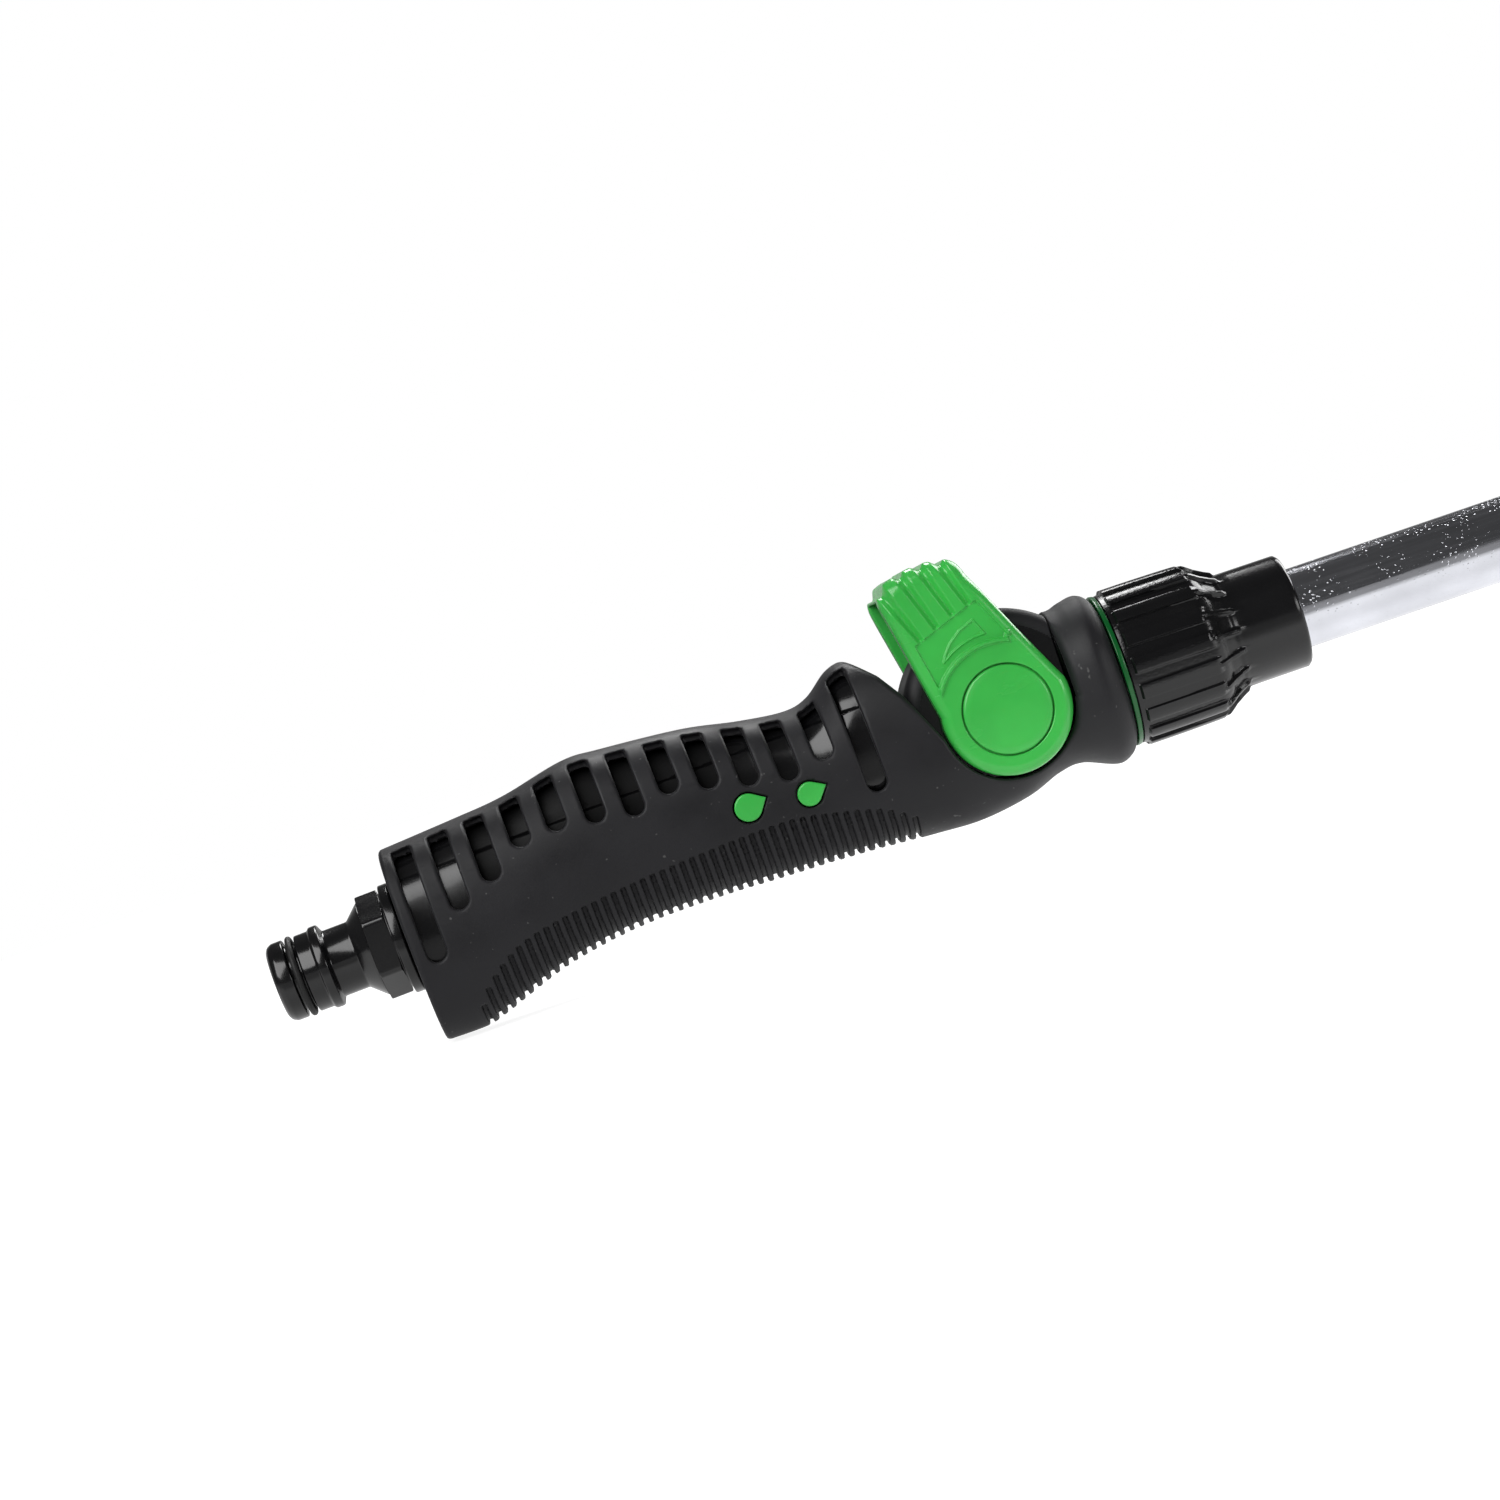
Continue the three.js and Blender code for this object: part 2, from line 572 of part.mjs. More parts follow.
function roseShell() {
  return solid(turned([
    [422, 13.3], [434.6, 13.3], [434.6, TUBE_BORE], [437, TUBE_BORE], [447, SHELL_BORE],
    [SHELL_FRONT, SHELL_BORE], [SHELL_FRONT, SHELL_RADIUS], [445.7, SHELL_RADIUS],
    [436, 16.8], [423, 16.2], [422, 15.4], [422, 13.3],
  ], 24));
}

// A baffle that spreads the water before it reaches the face.
function roseDiffuser() {
  const profile = [[444, 0], [444, 4], [446, 13], [447.4, 13], [448.2, 4], [450, 4], [450, 0]];
  return cut(turned(profile), rod(0, TUBE_END * 2, ROSE_SCREW_HOLE, 12));
}

function roseGasket() {
  return solid(ring(SHELL_FRONT + GAP, FACE_BACK - GAP, SHELL_BORE + 0.1, SHELL_RADIUS, 24));
}

function roseFace() {
  const holes = FACE_HOLE_ROWS.flatMap(([count, radius]) => (
    Array.from({ length: count }, (_, hole) => {
      const angle = 2 * Math.PI * hole / count;
      const drill = rod(FACE_BACK - 1, FACE_FRONT + 1, FACE_HOLE_RADIUS, 5);
      return drill.translate(0, radius * Math.cos(angle), radius * Math.sin(angle));
    })
  ));
  const screwHole = rod(FACE_BACK - 1, FACE_FRONT + 1, ROSE_SCREW_HOLE, 12);
  return cut(rod(FACE_BACK, FACE_FRONT, SHELL_RADIUS, 24), screwHole, ...holes);
}

function roseRing() {
  return solid(turned([
    [445.9, SHELL_RADIUS + GAP], [FACE_FRONT + GAP, SHELL_RADIUS + GAP], [FACE_FRONT + GAP, 21.3],
    [ROSE_FRONT, 21.8], [ROSE_FRONT, 25.2], [ROSE_FRONT - 0.8, ROSE_RADIUS], [446.7, ROSE_RADIUS],
    [445.9, 25.2], [445.9, SHELL_RADIUS + GAP],
  ], 28));
}

function roseScrew() {
  const shaft = rod(ROSE_SCREW_TIP, FACE_FRONT + 0.5, SCREW.radius, 12);
  const head = turned([[FACE_FRONT + GAP, 0], [FACE_FRONT + GAP, 3], [459.4, 3], [460, 2.2], [460, 0]], 20);
  return cut(join(shaft, head), rod(459.2, 461, SCREW.socket, 6));
}

// ---- Assembly ---------------------------------------------------------------------------------

function piece(name, shape, finish) {
  const { vertProperties, triVerts } = shape.getMesh();
  const geometry = new THREE.BufferGeometry();
  geometry.setAttribute('position', new THREE.BufferAttribute(vertProperties, 3));
  geometry.setIndex(new THREE.BufferAttribute(triVerts, 1));
  geometry.computeVertexNormals();
  const mesh = new THREE.Mesh(geometry, new THREE.MeshStandardMaterial(finish));
  mesh.name = name;
  return mesh;
}

const handle = new THREE.Group().add(
  piece('grip_skin', gripSkin(), BLACK_RUBBER),
  piece('grip_core', gripCore(), BLACK_GLOSS),
  piece('valve_housing', valveHousing(), BLACK_GLOSS),
  piece('inlet_pipe', inletPipe(), WHITE_PLASTIC),
  piece('pipe_seal_rear', pipeSeal(PIPE_SEAL.rear), SEAL_RUBBER),
  piece('pipe_seal_front', pipeSeal(PIPE_SEAL.front), SEAL_RUBBER),
  piece('valve_seat_inlet', valveSeat(-1), WHITE_PLASTIC),
  piece('valve_seat_outlet', valveSeat(1), WHITE_PLASTIC),
  piece('hose_connector', hoseConnector(), BLACK_GLOSS),
  piece('connector_o_ring', connectorSeal(), SEAL_RUBBER),
  piece('connector_washer', connectorWasher(), SEAL_RUBBER),
  piece('drop_inlay_left_front', dropInlay(DROP_FRONT, 1), GREEN_GLOSS),
  piece('drop_inlay_left_rear', dropInlay(DROP_REAR, 1), GREEN_GLOSS),
  piece('drop_inlay_right_front', dropInlay(DROP_FRONT, -1), GREEN_GLOSS),
  piece('drop_inlay_right_rear', dropInlay(DROP_REAR, -1), GREEN_GLOSS),
  piece('trim_ring', trimRing(), DARK_GREEN),
  piece('tube_o_ring', tubeSeal(), SEAL_RUBBER),
);

const lever = new THREE.Group().add(
  piece('thumb_lever', thumbLever(), GREEN_GLOSS),
  piece('valve_plug', valvePlug(), WHITE_PLASTIC),
  piece('lever_cap_left', leverCap(1), GREEN_GLOSS),
  piece('lever_cap_right', leverCap(-1), GREEN_GLOSS),
  piece('lever_screw_left', leverScrew(1), STEEL),
  piece('lever_screw_right', leverScrew(-1), STEEL),
  piece('plug_o_ring_left', plugSeal(1), SEAL_RUBBER),
  piece('plug_o_ring_right', plugSeal(-1), SEAL_RUBBER),
);

const clamp = new THREE.Group().add(
  piece('collet', collet(), WHITE_PLASTIC),
  piece('thrust_washer', thrustWasher(), WHITE_PLASTIC),
  piece('union_nut', unionNut(), BLACK_GLOSS),
);

const tube = new THREE.Group().add(
  piece('wand_tube', wandTube(), ALUMINIUM),
  piece('tube_end_fitting', tubeEndFitting(), ALUMINIUM),
  piece('rose_washer', roseWasher(), SEAL_RUBBER),
  piece('rose_shell', roseShell(), BLACK_GLOSS),
  piece('rose_diffuser', roseDiffuser(), WHITE_PLASTIC),
  piece('rose_gasket', roseGasket(), SEAL_RUBBER),
  piece('rose_face', roseFace(), ALUMINIUM),
  piece('rose_ring', roseRing(), DARK_GREEN),
  piece('rose_screw', roseScrew(), STEEL),
);

const wand = new THREE.Group().add(handle, lever, clamp, tube);
wand.position.copy(PIVOT);

export default wand;
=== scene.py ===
"""The watering wand's looks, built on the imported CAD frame.

The shape code works in millimetres from the lever's pivot, as the CAD source does, and in_frame()
turns its points into the frame's metres. Free-form pieces are signed distances: functions of x, y
and z that are negative inside the solid. mesh_where_zero() meshes the surface where one is zero.
Round pieces are turned: a closed profile of (x, radius) points swept about the tube's axis.
"""

import json
import math

import bmesh
import bpy
import numpy as np
from mathutils import Matrix, Vector


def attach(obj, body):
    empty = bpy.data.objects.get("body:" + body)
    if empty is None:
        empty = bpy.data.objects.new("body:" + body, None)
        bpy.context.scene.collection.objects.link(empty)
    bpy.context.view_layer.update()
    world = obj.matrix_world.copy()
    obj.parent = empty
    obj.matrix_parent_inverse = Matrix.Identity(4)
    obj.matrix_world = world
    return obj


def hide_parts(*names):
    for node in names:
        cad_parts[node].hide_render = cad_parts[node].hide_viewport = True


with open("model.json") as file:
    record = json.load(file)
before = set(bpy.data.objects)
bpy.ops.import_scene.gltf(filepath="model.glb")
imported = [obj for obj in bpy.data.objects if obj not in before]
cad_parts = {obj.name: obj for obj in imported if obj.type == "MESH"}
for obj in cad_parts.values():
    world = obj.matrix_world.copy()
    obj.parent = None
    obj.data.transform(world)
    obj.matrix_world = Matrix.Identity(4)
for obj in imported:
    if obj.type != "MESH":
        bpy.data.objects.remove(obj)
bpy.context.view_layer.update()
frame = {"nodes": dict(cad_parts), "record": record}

# ---- Dimensions, in millimetres from the lever's pivot -------------------------------------------

PIVOT = np.array([-155.0, 0.0, 26.0])
MM = 0.001
GRIP_TILT = math.radians(2)

GRIP_REAR = -122.5
GRIP_FRONT = 22.9
GRIP_TOP = [
    (-126, 12.8), (-108, 14.2), (-97, 15.3), (-84, 18.1), (-76, 17.9), (-60, 16.5), (-49, 14.4),
    (-40, 13.3), (-35, 14.4), (-30, 18.0), (-26, 19.1), (-20, 19.4), (0, 19.3), (8, 17.2), (14, 15.4),
    (17.5, 16.1), (20.5, 16.5), (23, 15.1),
]
GRIP_BOTTOM = [
    (-126, -26.3), (-115, -26.3), (-108.8, -24.5), (-95, -19.8), (-80, -17.3), (-65, -16.8),
    (-50, -17.2), (-35, -17.7), (-20, -18.7), (-10, -19.1), (0, -17.7), (7, -15.3), (12, -14.9),
    (19, -17.4), (23, -15.3),
]
GRIP_HALF_WIDTH = [
    (-126, 16.2), (-100, 15.6), (-75, 14.8), (-50, 14.2), (-30, 15.2), (-12, 16.0), (4, 15.9),
    (12, 15.1), (19, 16.9), (23, 15.2),
]
SQUARENESS = 2.35
REST_LEVEL = -25.8
SKIN_THICKNESS = 2.0
GAP = 0.3

SLOT_RADIUS = 1.95
SLOT_FIRST = -118.0
SLOT_PITCH = 7.48
SLOT_FEET = [-6.4, 1.4, 4.3, 8.4, 8.8, 7.6, 6.2, 7.8, 6.0, 3.8, 2.0, 3.5, -5.9]
SLOT_HEADROOM = 1.5
SPINE_HALF_WIDTH = 5.5

COMB_PITCH = 2.04
COMB_FIRST = -113.4
COMB_LAST = -23.6
COMB_HALF_WIDTH = 0.52
COMB_DEPTH = 1.15
COMB_TOP = [
    (-115, -22.6), (-113.4, -21.1), (-109.6, -16.6), (-100, -11.5), (-80, -8.4), (-60, -6.9),
    (-47, -6.6), (-38, -8.0), (-28.8, -10.5), (-23, -14.2),
]

DROPS = {
    "front": {"x": -41.0, "z": -3.1, "radius": 2.35, "reach": 3.6},
    "rear": {"x": -52.9, "z": -1.8, "radius": 2.7, "reach": 3.9},
}
DROP_LEAN = math.radians(12)
DROP_PROUD = 0.2

NOTCH = [(-28, 21), (-21.3, 14), (-18.1, 8.9), (-13.2, -1.9), (13.4, -1.9), (13.4, 24), (-28, 24)]
NOTCH_FRONT = 13.4
NOTCH_ROUNDING = 0.9
NOTCH_FRONT_SHARPER = 0.6  # how much less than that its front edge is rounded over the barrel
NOTCH_FRONT_ROUNDER = 1.3  # how much more that edge is rounded beside the barrel than over it
WINDOW_RADIUS = 13.3

CORE_FRONT = -24.3
CORE_WALL = 2.5
CORE_SIDE_WALL = 2.5  # more of it at the sides, which the set-back is taken from
CORE_HOLLOW_START = -113.5
CORE_STEP = -107.0  # from here its middle is set back from the slots
CORE_SET_BACK = 2.2
CORE_RISE = -55.4  # from here it comes closer to them again
CORE_RISE_HEIGHT = 1.4
CORE_LEDGE = 10.2
CORE_LEDGE_DEPTH = 1.3
# round bores: (start, end, radius)
CORE_BORE = (-200, -106, 9.3)
CORE_FLANGE_BORE = (-200, -121.3, 11.0)

BARREL_RADIUS = 19.6
BARREL_HALF_WIDTH = 10.2
BARREL_SOFT_EDGE = 3.2  # how far its soft finish goes in over its edge
SPIGOT_RADIUS = 12.6
SPIGOT_END = 36.0
PLUG_BORE = 12.0

BOSS_RADIUS = 12.7
LEVER_INNER = 10.5
LEVER_OUTER = 15.6
BRIDGE_RADIUS = 20.1
PAD_HOLLOW = [(-30, 12), (-30, 27), (-13.5, 27.4), (-3.5, 27.6), (-2.2, 25.6), (1.6, 17.6), (0, 12)]
CAP_RADIUS = 8.6
CAP_SEAT = 14.6
PLUG_SQUARE = 4.8  # half the width of the plug's square end
PLUG_SQUARE_END = 12.2
SCREW_HOLE = 1.8  # in the yoke, and in the rose's face
SCREW_HEAD_HOLE = 3.3
SCREW_SEAT = 13.0
LEVER_FILLET = 2.1
PAD_FILLET = 3.6
# each groove between the ribs of the thumb pad: (top, lower end)
RIB_GROOVES = [
    ((-16.7, 31.0), (-11.7, 17.9)), ((-12.6, 34.0), (-8.0, 19.3)),
    ((-8.5, 34.5), (-4.3, 20.8)), ((-4.6, 34.0), (-0.8, 21.7)),
]
WEDGE = [
    (-8.8, 12.3), (-7.7, 14.0), (-6.3, 15.5), (-3.9, 17.2), (-1.0, 18.3), (0.4, 15.2), (-1.9, 15.1),
    (-4.5, 14.5), (-6.8, 13.5),
]
WEDGE_HEIGHT = 0.3
GROOVE_DEPTH = 1.0
GROOVE_HALF_WIDTHS = (1.6, 0.95)  # at its top and at its foot
PANEL_DEPTH = 0.5
PANEL_MARGIN = 2.1
PANEL_FOOT = 13.6
BEAD_RADIUS = 13.3
BEAD_HEIGHT = 0.65
BEAD_MIDDLE = -3.4  # the x of the middle of its arc
BEAD_HALF_LENGTH = 7.5
BEAD_HOOK = [(3.9, 12.7), (4.7, 14.1)]

CONNECTOR_TIP = -149.5
# the connector's hexagon, from its tip
HEX_START = 19.5
HEX_END = 24.1
HEX_CORNER = 10.6

NUT_REAR = 24.5
NUT_RIBS = 18
NUT_RIB_HALF_WIDTH = 1.6
NUT_RIB_HEIGHT = 0.6
NUT_CROWN = 0.13  # how much higher a rib is along its middle
NUT_FIN_HALF_WIDTH = 0.55
NUT_FIN_HEIGHT = 0.75
NUT_CONE_STEP = 0.22  # how far the cone is sunk between the fins
NUT_RELIEF_FROM = 11.3  # the relief moves only points further out than this
NUT_TEXTURE_FADE = (43, 48)
TUBE_RADIUS = 8.0
TUBE_BORE = 7.0
TUBE_START = 24.8
TUBE_END = 420.0
FLUTES = 24
FLUTE_DEPTH = 0.55
LOBES = 30
LOBE_DEPTH = 0.7
FACE_BACK = 457.6
FACE_FRONT = 458.6
FACE_RADIUS = 23.5  # and the cup's
FACE_ROWS = [(6, 5.6), (12, 10.0), (18, 14.4), (24, 18.8)]  # nozzles and their circle's radius
NOZZLE_HOLE = 0.6
NOZZLE_RIM = 1.25
NOZZLE_RISE = 0.6

# ---- Meshes --------------------------------------------------------------------------------------

AXES = np.eye(3)


def in_frame(points):
    """Points in the frame's metres."""
    return (np.asarray(points, float) + PIVOT) * MM


def add_piece(name, points, quads, material, body, replaced, sharp=180):
    """A mesh of quads as a piece that stands for CAD nodes and rides on their body."""
    mesh = bpy.data.meshes.new(name)
    mesh.vertices.add(len(points))
    mesh.vertices.foreach_set("co", in_frame(points).astype(np.float32).ravel())
    mesh.loops.add(quads.size)
    mesh.loops.foreach_set("vertex_index", quads.astype(np.int32).ravel())
    mesh.polygons.add(len(quads))
    mesh.polygons.foreach_set("loop_start", np.arange(0, quads.size, 4, dtype=np.int32))
    mesh.update(calc_edges=True)
    piece = bpy.data.objects.new(name, mesh)
    bpy.context.scene.collection.objects.link(piece)
    mesh.materials.append(material)
    weld(mesh)
    mesh.shade_smooth()
    if sharp < 180:
        mesh.set_sharp_from_angle(angle=math.radians(sharp))
    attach(piece, body)
    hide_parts(*replaced)
    return piece


def weld(mesh):
    """Joins points that coincide, which closes a turned piece on its axis."""
    work = bmesh.new()
    work.from_mesh(mesh)
    bmesh.ops.remove_doubles(work, verts=work.verts, dist=1e-8)
    bmesh.ops.recalc_face_normals(work, faces=work.faces)
    work.to_mesh(mesh)
    work.free()


def thin_out(piece, share):
    """Keeps about that share of the piece's faces, most of them where the surface bends."""
    modifier = piece.modifiers.new("thin", "DECIMATE")
    modifier.ratio = share
    bpy.context.view_layer.update()
    evaluated = piece.evaluated_get(bpy.context.evaluated_depsgraph_get())
    thinned = bpy.data.meshes.new_from_object(evaluated)
    piece.modifiers.clear()
    piece.data = thinned
    piece.data.shade_smooth()


def mesh_where_zero(distance, low, high, step):
    """Surface nets: one point in each cell that the surface crosses, one quad on each crossed edge."""
    step = np.broadcast_to(np.asarray(step, float), 3)
    ticks = [np.arange(a, b + s, s) for a, b, s in zip(low, high, step)]
    values = distance(*np.meshgrid(*ticks, indexing="ij", sparse=True))
    values = np.ascontiguousarray(np.broadcast_to(values, [len(t) for t in ticks]), np.float32)
    inside = values < 0
    cells = [n - 1 for n in values.shape]
    corners = [(i, j, k) for i in (0, 1) for j in (0, 1) for k in (0, 1)]

    def corner_view(grid, corner):
        return grid[tuple(slice(c, c + n) for c, n in zip(corner, cells))]

    count = sum(corner_view(inside, c).astype(np.int8) for c in corners)
    active = np.nonzero((count > 0) & (count < 8))
    at = {c: values[tuple(a + o for a, o in zip(active, c))] for c in corners}
    total = np.zeros((len(active[0]), 3))
    crossings = np.zeros(len(active[0]))
    for axis in range(3):
        for start in (c for c in corners if c[axis] == 0):
            end = tuple(c + (n == axis) for n, c in enumerate(start))
            a, b = at[start], at[end]
            crossed = (a < 0) != (b < 0)
            share = np.where(crossed, a / np.where(crossed, a - b, 1), 0)
            total += crossed[:, None] * (np.array(start) + share[:, None] * AXES[axis])
            crossings += crossed
    origin = np.array([t[0] for t in ticks])
    points = origin + (np.stack(active, 1) + total / crossings[:, None]) * step

    number = np.full(cells, -1, np.int32)
    number[active] = np.arange(len(points))
    quads = []
    for axis in range(3):
        u, v = (axis + 1) % 3, (axis + 2) % 3
        whole = [slice(1, n) for n in cells]
        whole[axis] = slice(0, cells[axis])
        ahead = list(whole)
        ahead[axis] = slice(1, cells[axis] + 1)
        leaves = inside[tuple(whole)] & ~inside[tuple(ahead)]
        enters = ~inside[tuple(whole)] & inside[tuple(ahead)]
        for crossed, turn in ((leaves, 1), (enters, -1)):
            where = np.stack(np.nonzero(crossed), 1)
            where[:, u] += 1
            where[:, v] += 1
            ring = [where - AXES[u].astype(int) * du - AXES[v].astype(int) * dv
                    for du, dv in ((1, 1), (0, 1), (0, 0), (1, 0))]
            face = np.stack([number[tuple(r.T)] for r in ring[::turn]], 1)
            quads.append(face)
    return points, np.concatenate(quads)


def slope_at(points, distance):
    """The direction in which distance grows, at each point."""
    probe = 0.02
    return np.stack([
        distance(*(points + probe * axis).T) - distance(*(points - probe * axis).T) for axis in AXES
    ], 1) / (2 * probe)


def settle(points, distance, rounds=2):
    """Moves points onto the surface where distance is zero, along its slope."""
    for _ in range(rounds):
        value = np.clip(distance(*points.T), -0.3, 0.3)
        slope = slope_at(points, distance)
        steepness = np.maximum((slope ** 2).sum(1), 0.3)
        points = points - (value / steepness)[:, None] * slope
    return points


def shade_exactly(piece, distance):
    """Shades the piece by the shape that it was meshed from, not by its faces."""
    mesh = piece.data
    points = np.empty(len(mesh.vertices) * 3, np.float32)
    mesh.vertices.foreach_get("co", points)
    slope = slope_at(points.reshape(-1, 3) / MM - PIVOT, distance)
    steepness = np.maximum(np.linalg.norm(slope, axis=1), 1e-6)
    mesh.normals_split_custom_set_from_vertices(slope / steepness[:, None])


def sculpt(name, distance, low, high, step, material, body, replaced, share=1.0):
    """A piece from a signed distance, thinned to a share of its faces."""
    points, quads = mesh_where_zero(distance, low, high, step)
    points = settle(points, distance)
    piece = add_piece(name, points, quads, material, body, replaced)
    if share < 1:
        thin_out(piece, share)
    shade_exactly(piece, distance)
    return piece


def soften(profile, radius, steps=4):
    """A closed profile with its corners rounded, apart from those on the axis."""
    points = [np.array(p, float) for p in profile]
    rounded = []
    for before, corner, after in zip(points[-1:] + points[:-1], points, points[1:] + points[:1]):
        if corner[1] == 0:
            rounded.append(corner)
            continue
        back, ahead = before - corner, after - corner
        back_length, ahead_length = np.hypot(*back), np.hypot(*ahead)
        reach = min(radius, 0.45 * back_length, 0.45 * ahead_length)
        start = corner + back / back_length * reach
        end = corner + ahead / ahead_length * reach
        for t in np.linspace(0, 1, steps + 1):
            rounded.append((1 - t) ** 2 * start + 2 * t * (1 - t) * corner + t * t * end)
    return rounded


def turn(name, profile, material, body, slot, replaced,
         around=96, relief=None, place=None, angles=None):
    """A piece swept about X from a closed profile.

    relief(x, radius, angle) gives each point's radius, and place(points) moves the finished points.
    """
    if angles is None:
        angles = np.linspace(0, 2 * math.pi, around, endpoint=False)
    profile = np.array(profile)
    x, radius = profile[:, :1], profile[:, 1:]
    if relief is not None:
        radius = relief(x, radius, angles[None, :])
    radius = np.broadcast_to(radius, (len(profile), len(angles)))
    x = np.broadcast_to(x, radius.shape)
    points = np.stack([x, radius * np.cos(angles), radius * np.sin(angles)], -1).reshape(-1, 3)
    number = np.arange(len(points)).reshape(radius.shape)
    ahead = np.roll(number, -1, 0)
    quads = np.stack([number, np.roll(number, -1, 1), np.roll(ahead, -1, 1), ahead], -1).reshape(-1, 4)
    if place is not None:
        points = place(points)
    return add_piece(name, points, quads, material, body, replaced, sharp=50)


# ---- Signed distances ----------------------------------------------------------------------------


def meet(a, b, radius=0.0):
    """What is inside both a and b, with the edge between them rounded by radius."""
    u = np.maximum(a + radius, 0)
    v = np.maximum(b + radius, 0)
    return np.minimum(np.maximum(a, b), -radius) + np.sqrt(u * u + v * v)


def less(a, b, radius=0.0):
    """a without b."""
    return meet(a, -b, radius)


def both(*parts):
    """Everything inside any of the parts."""
    joined = parts[0]
    for part in parts[1:]:
        joined = np.minimum(joined, part)
    return joined


def polygon(corners, u, v):
    """Distance to a closed outline in two directions."""
    nearest = np.inf
    inside = False
    for (au, av), (bu, bv) in zip(corners, corners[1:] + corners[:1]):
        eu, ev = bu - au, bv - av
        share = np.clip(((u - au) * eu + (v - av) * ev) / (eu * eu + ev * ev), 0, 1)
        nearest = np.minimum(nearest, (u - au - share * eu) ** 2 + (v - av - share * ev) ** 2)
        if ev != 0:
            inside = inside ^ (((av <= v) != (bv <= v)) & (au + eu * (v - av) / ev > u))
    return np.where(inside, -1, 1) * np.sqrt(nearest)


def stroke_share(start, end, u, v):
    """How far along a straight line the nearest point of it lies, from 0 to 1."""
    (au, av), (bu, bv) = start, end
    eu, ev = bu - au, bv - av
    return np.clip(((u - au) * eu + (v - av) * ev) / (eu * eu + ev * ev), 0, 1)


def stroke(start, end, u, v):
    """Distance to a straight line in two directions."""
    (au, av), (bu, bv) = start, end
    share = stroke_share(start, end, u, v)
    return np.hypot(u - au - share * (bu - au), v - av - share * (bv - av))


def smooth(value):
    """From 0 to 1 without a corner at either end."""
    t = np.clip(value, 0, 1)
    return t * t * (3 - 2 * t)


def through(stations):
    """A smooth function of x through (x, value) stations, the same curve as in the CAD source."""
    points = np.array(stations, float)
    padded = np.vstack([points[:1], points, points[-1:]])
    t = np.linspace(0, 1, 24, endpoint=False)[:, None]
    pieces = []
    for a, b, c, d in zip(padded, padded[1:], padded[2:], padded[3:]):
        leave, arrive = (c - a) / 2, (d - b) / 2
        cubic = (2 * b - 2 * c + leave + arrive) * t ** 3
        pieces.append(cubic + (3 * c - 3 * b - 2 * leave - arrive) * t ** 2 + leave * t + b)
    curve = np.vstack([*pieces, points[-1:]])
    return lambda x: np.interp(x, curve[:, 0], curve[:, 1])


grip_top = through(GRIP_TOP)
grip_bottom = through(GRIP_BOTTOM)
grip_half_width = through(GRIP_HALF_WIDTH)
comb_top = through(COMB_TOP)


def grip_frame(x, z):
    """x and z along and across the grip's tilted axis."""
    c, s = math.cos(GRIP_TILT), math.sin(GRIP_TILT)
    return x * c + z * s, z * c - x * s


def tilted(points):
    """Points given along the grip's axis, as points of the wand."""
    c, s = math.cos(GRIP_TILT), math.sin(GRIP_TILT)
    x, y, z = points.T
    return np.stack([x * c - z * s, y, x * s + z * c], 1)


def grip_body(x, y, z, inset=0.0, narrower=0.0):
    """The grip's outer surface moved inwards by inset, and its sides by narrower as well."""
    top, bottom = grip_top(x), grip_bottom(x)
    half_height = (top - bottom) / 2 - inset
    half_width = grip_half_width(x) - inset - narrower
    height = z - (top + bottom) / 2
    radius = np.hypot(y, height)
    divisor = np.maximum(radius, 1e-6)
    across = (np.abs(y) / divisor / half_width) ** SQUARENESS
    upward = (np.abs(height) / divisor / half_height) ** SQUARENESS
    return radius - (across + upward + 1e-6) ** (-1 / SQUARENESS)


def slots(x, y, z):
    """All the slots in the grip, on both sides of its spine. Their heads follow its top line."""
    along, up = grip_frame(x, z)
    found = np.inf
    for index, foot in enumerate(SLOT_FEET):
        middle = SLOT_FIRST + SLOT_PITCH * index
        head = float(grip_top(middle)) - middle * math.sin(GRIP_TILT)
        found = np.minimum(found, stroke((middle, foot + SLOT_RADIUS), (middle, head), along, up))
    below_top = meet(found - SLOT_RADIUS, z - grip_top(x) + SLOT_HEADROOM, 0.5)
    return meet(below_top, SPINE_HALF_WIDTH - np.abs(y), 0.8)


def comb(x, z, outside):
    """The fine grooves under the grip."""
    along, _ = grip_frame(x, z)
    last = round((COMB_LAST - COMB_FIRST) / COMB_PITCH)
    nearest = np.clip(np.round((along - COMB_FIRST) / COMB_PITCH), 0, last)
    beside = np.abs(along - COMB_FIRST - nearest * COMB_PITCH) - COMB_HALF_WIDTH
    above = z - comb_top(COMB_FIRST + nearest * COMB_PITCH)
    return meet(meet(beside, above, 0.3), -(outside + COMB_DEPTH), 0.2)


def drop_outline(drop, x, z, margin=0.0):
    """Distance to a drop's outline, its tip towards the rose."""
    radius, reach = drop["radius"] + margin, drop["reach"]
    lean = (math.cos(DROP_LEAN), math.sin(DROP_LEAN))
    along = (x - drop["x"]) * lean[0] + (z - drop["z"]) * lean[1]
    beside = np.abs((z - drop["z"]) * lean[0] - (x - drop["x"]) * lean[1])
    tangent = math.acos(drop["radius"] / reach)
    flank = along * math.cos(tangent) + beside * math.sin(tangent) - radius
    past_tangent = beside * math.cos(tangent) < along * math.sin(tangent)
    return np.where(past_tangent, flank, np.hypot(along, beside) - radius)


def drop_pockets(x, z):
    """Both drops' pockets, with a gap round the drops."""
    return both(*(drop_outline(drop, x, z, GAP) for drop in DROPS.values()))


def lever_opening(x, z):
    """The V-shaped notch and the round windows that the lever works in."""
    return both(polygon(NOTCH, x, z), np.hypot(x, z) - WINDOW_RADIUS)


def rod(along, y, up, start, end, radius):
    """A round rod along the first direction."""
    return meet(np.hypot(y, up) - radius, both_sides(along, start, end))


def both_sides(value, low, high):
    """Distance to the range from low to high."""
    return np.maximum(low - value, value - high)


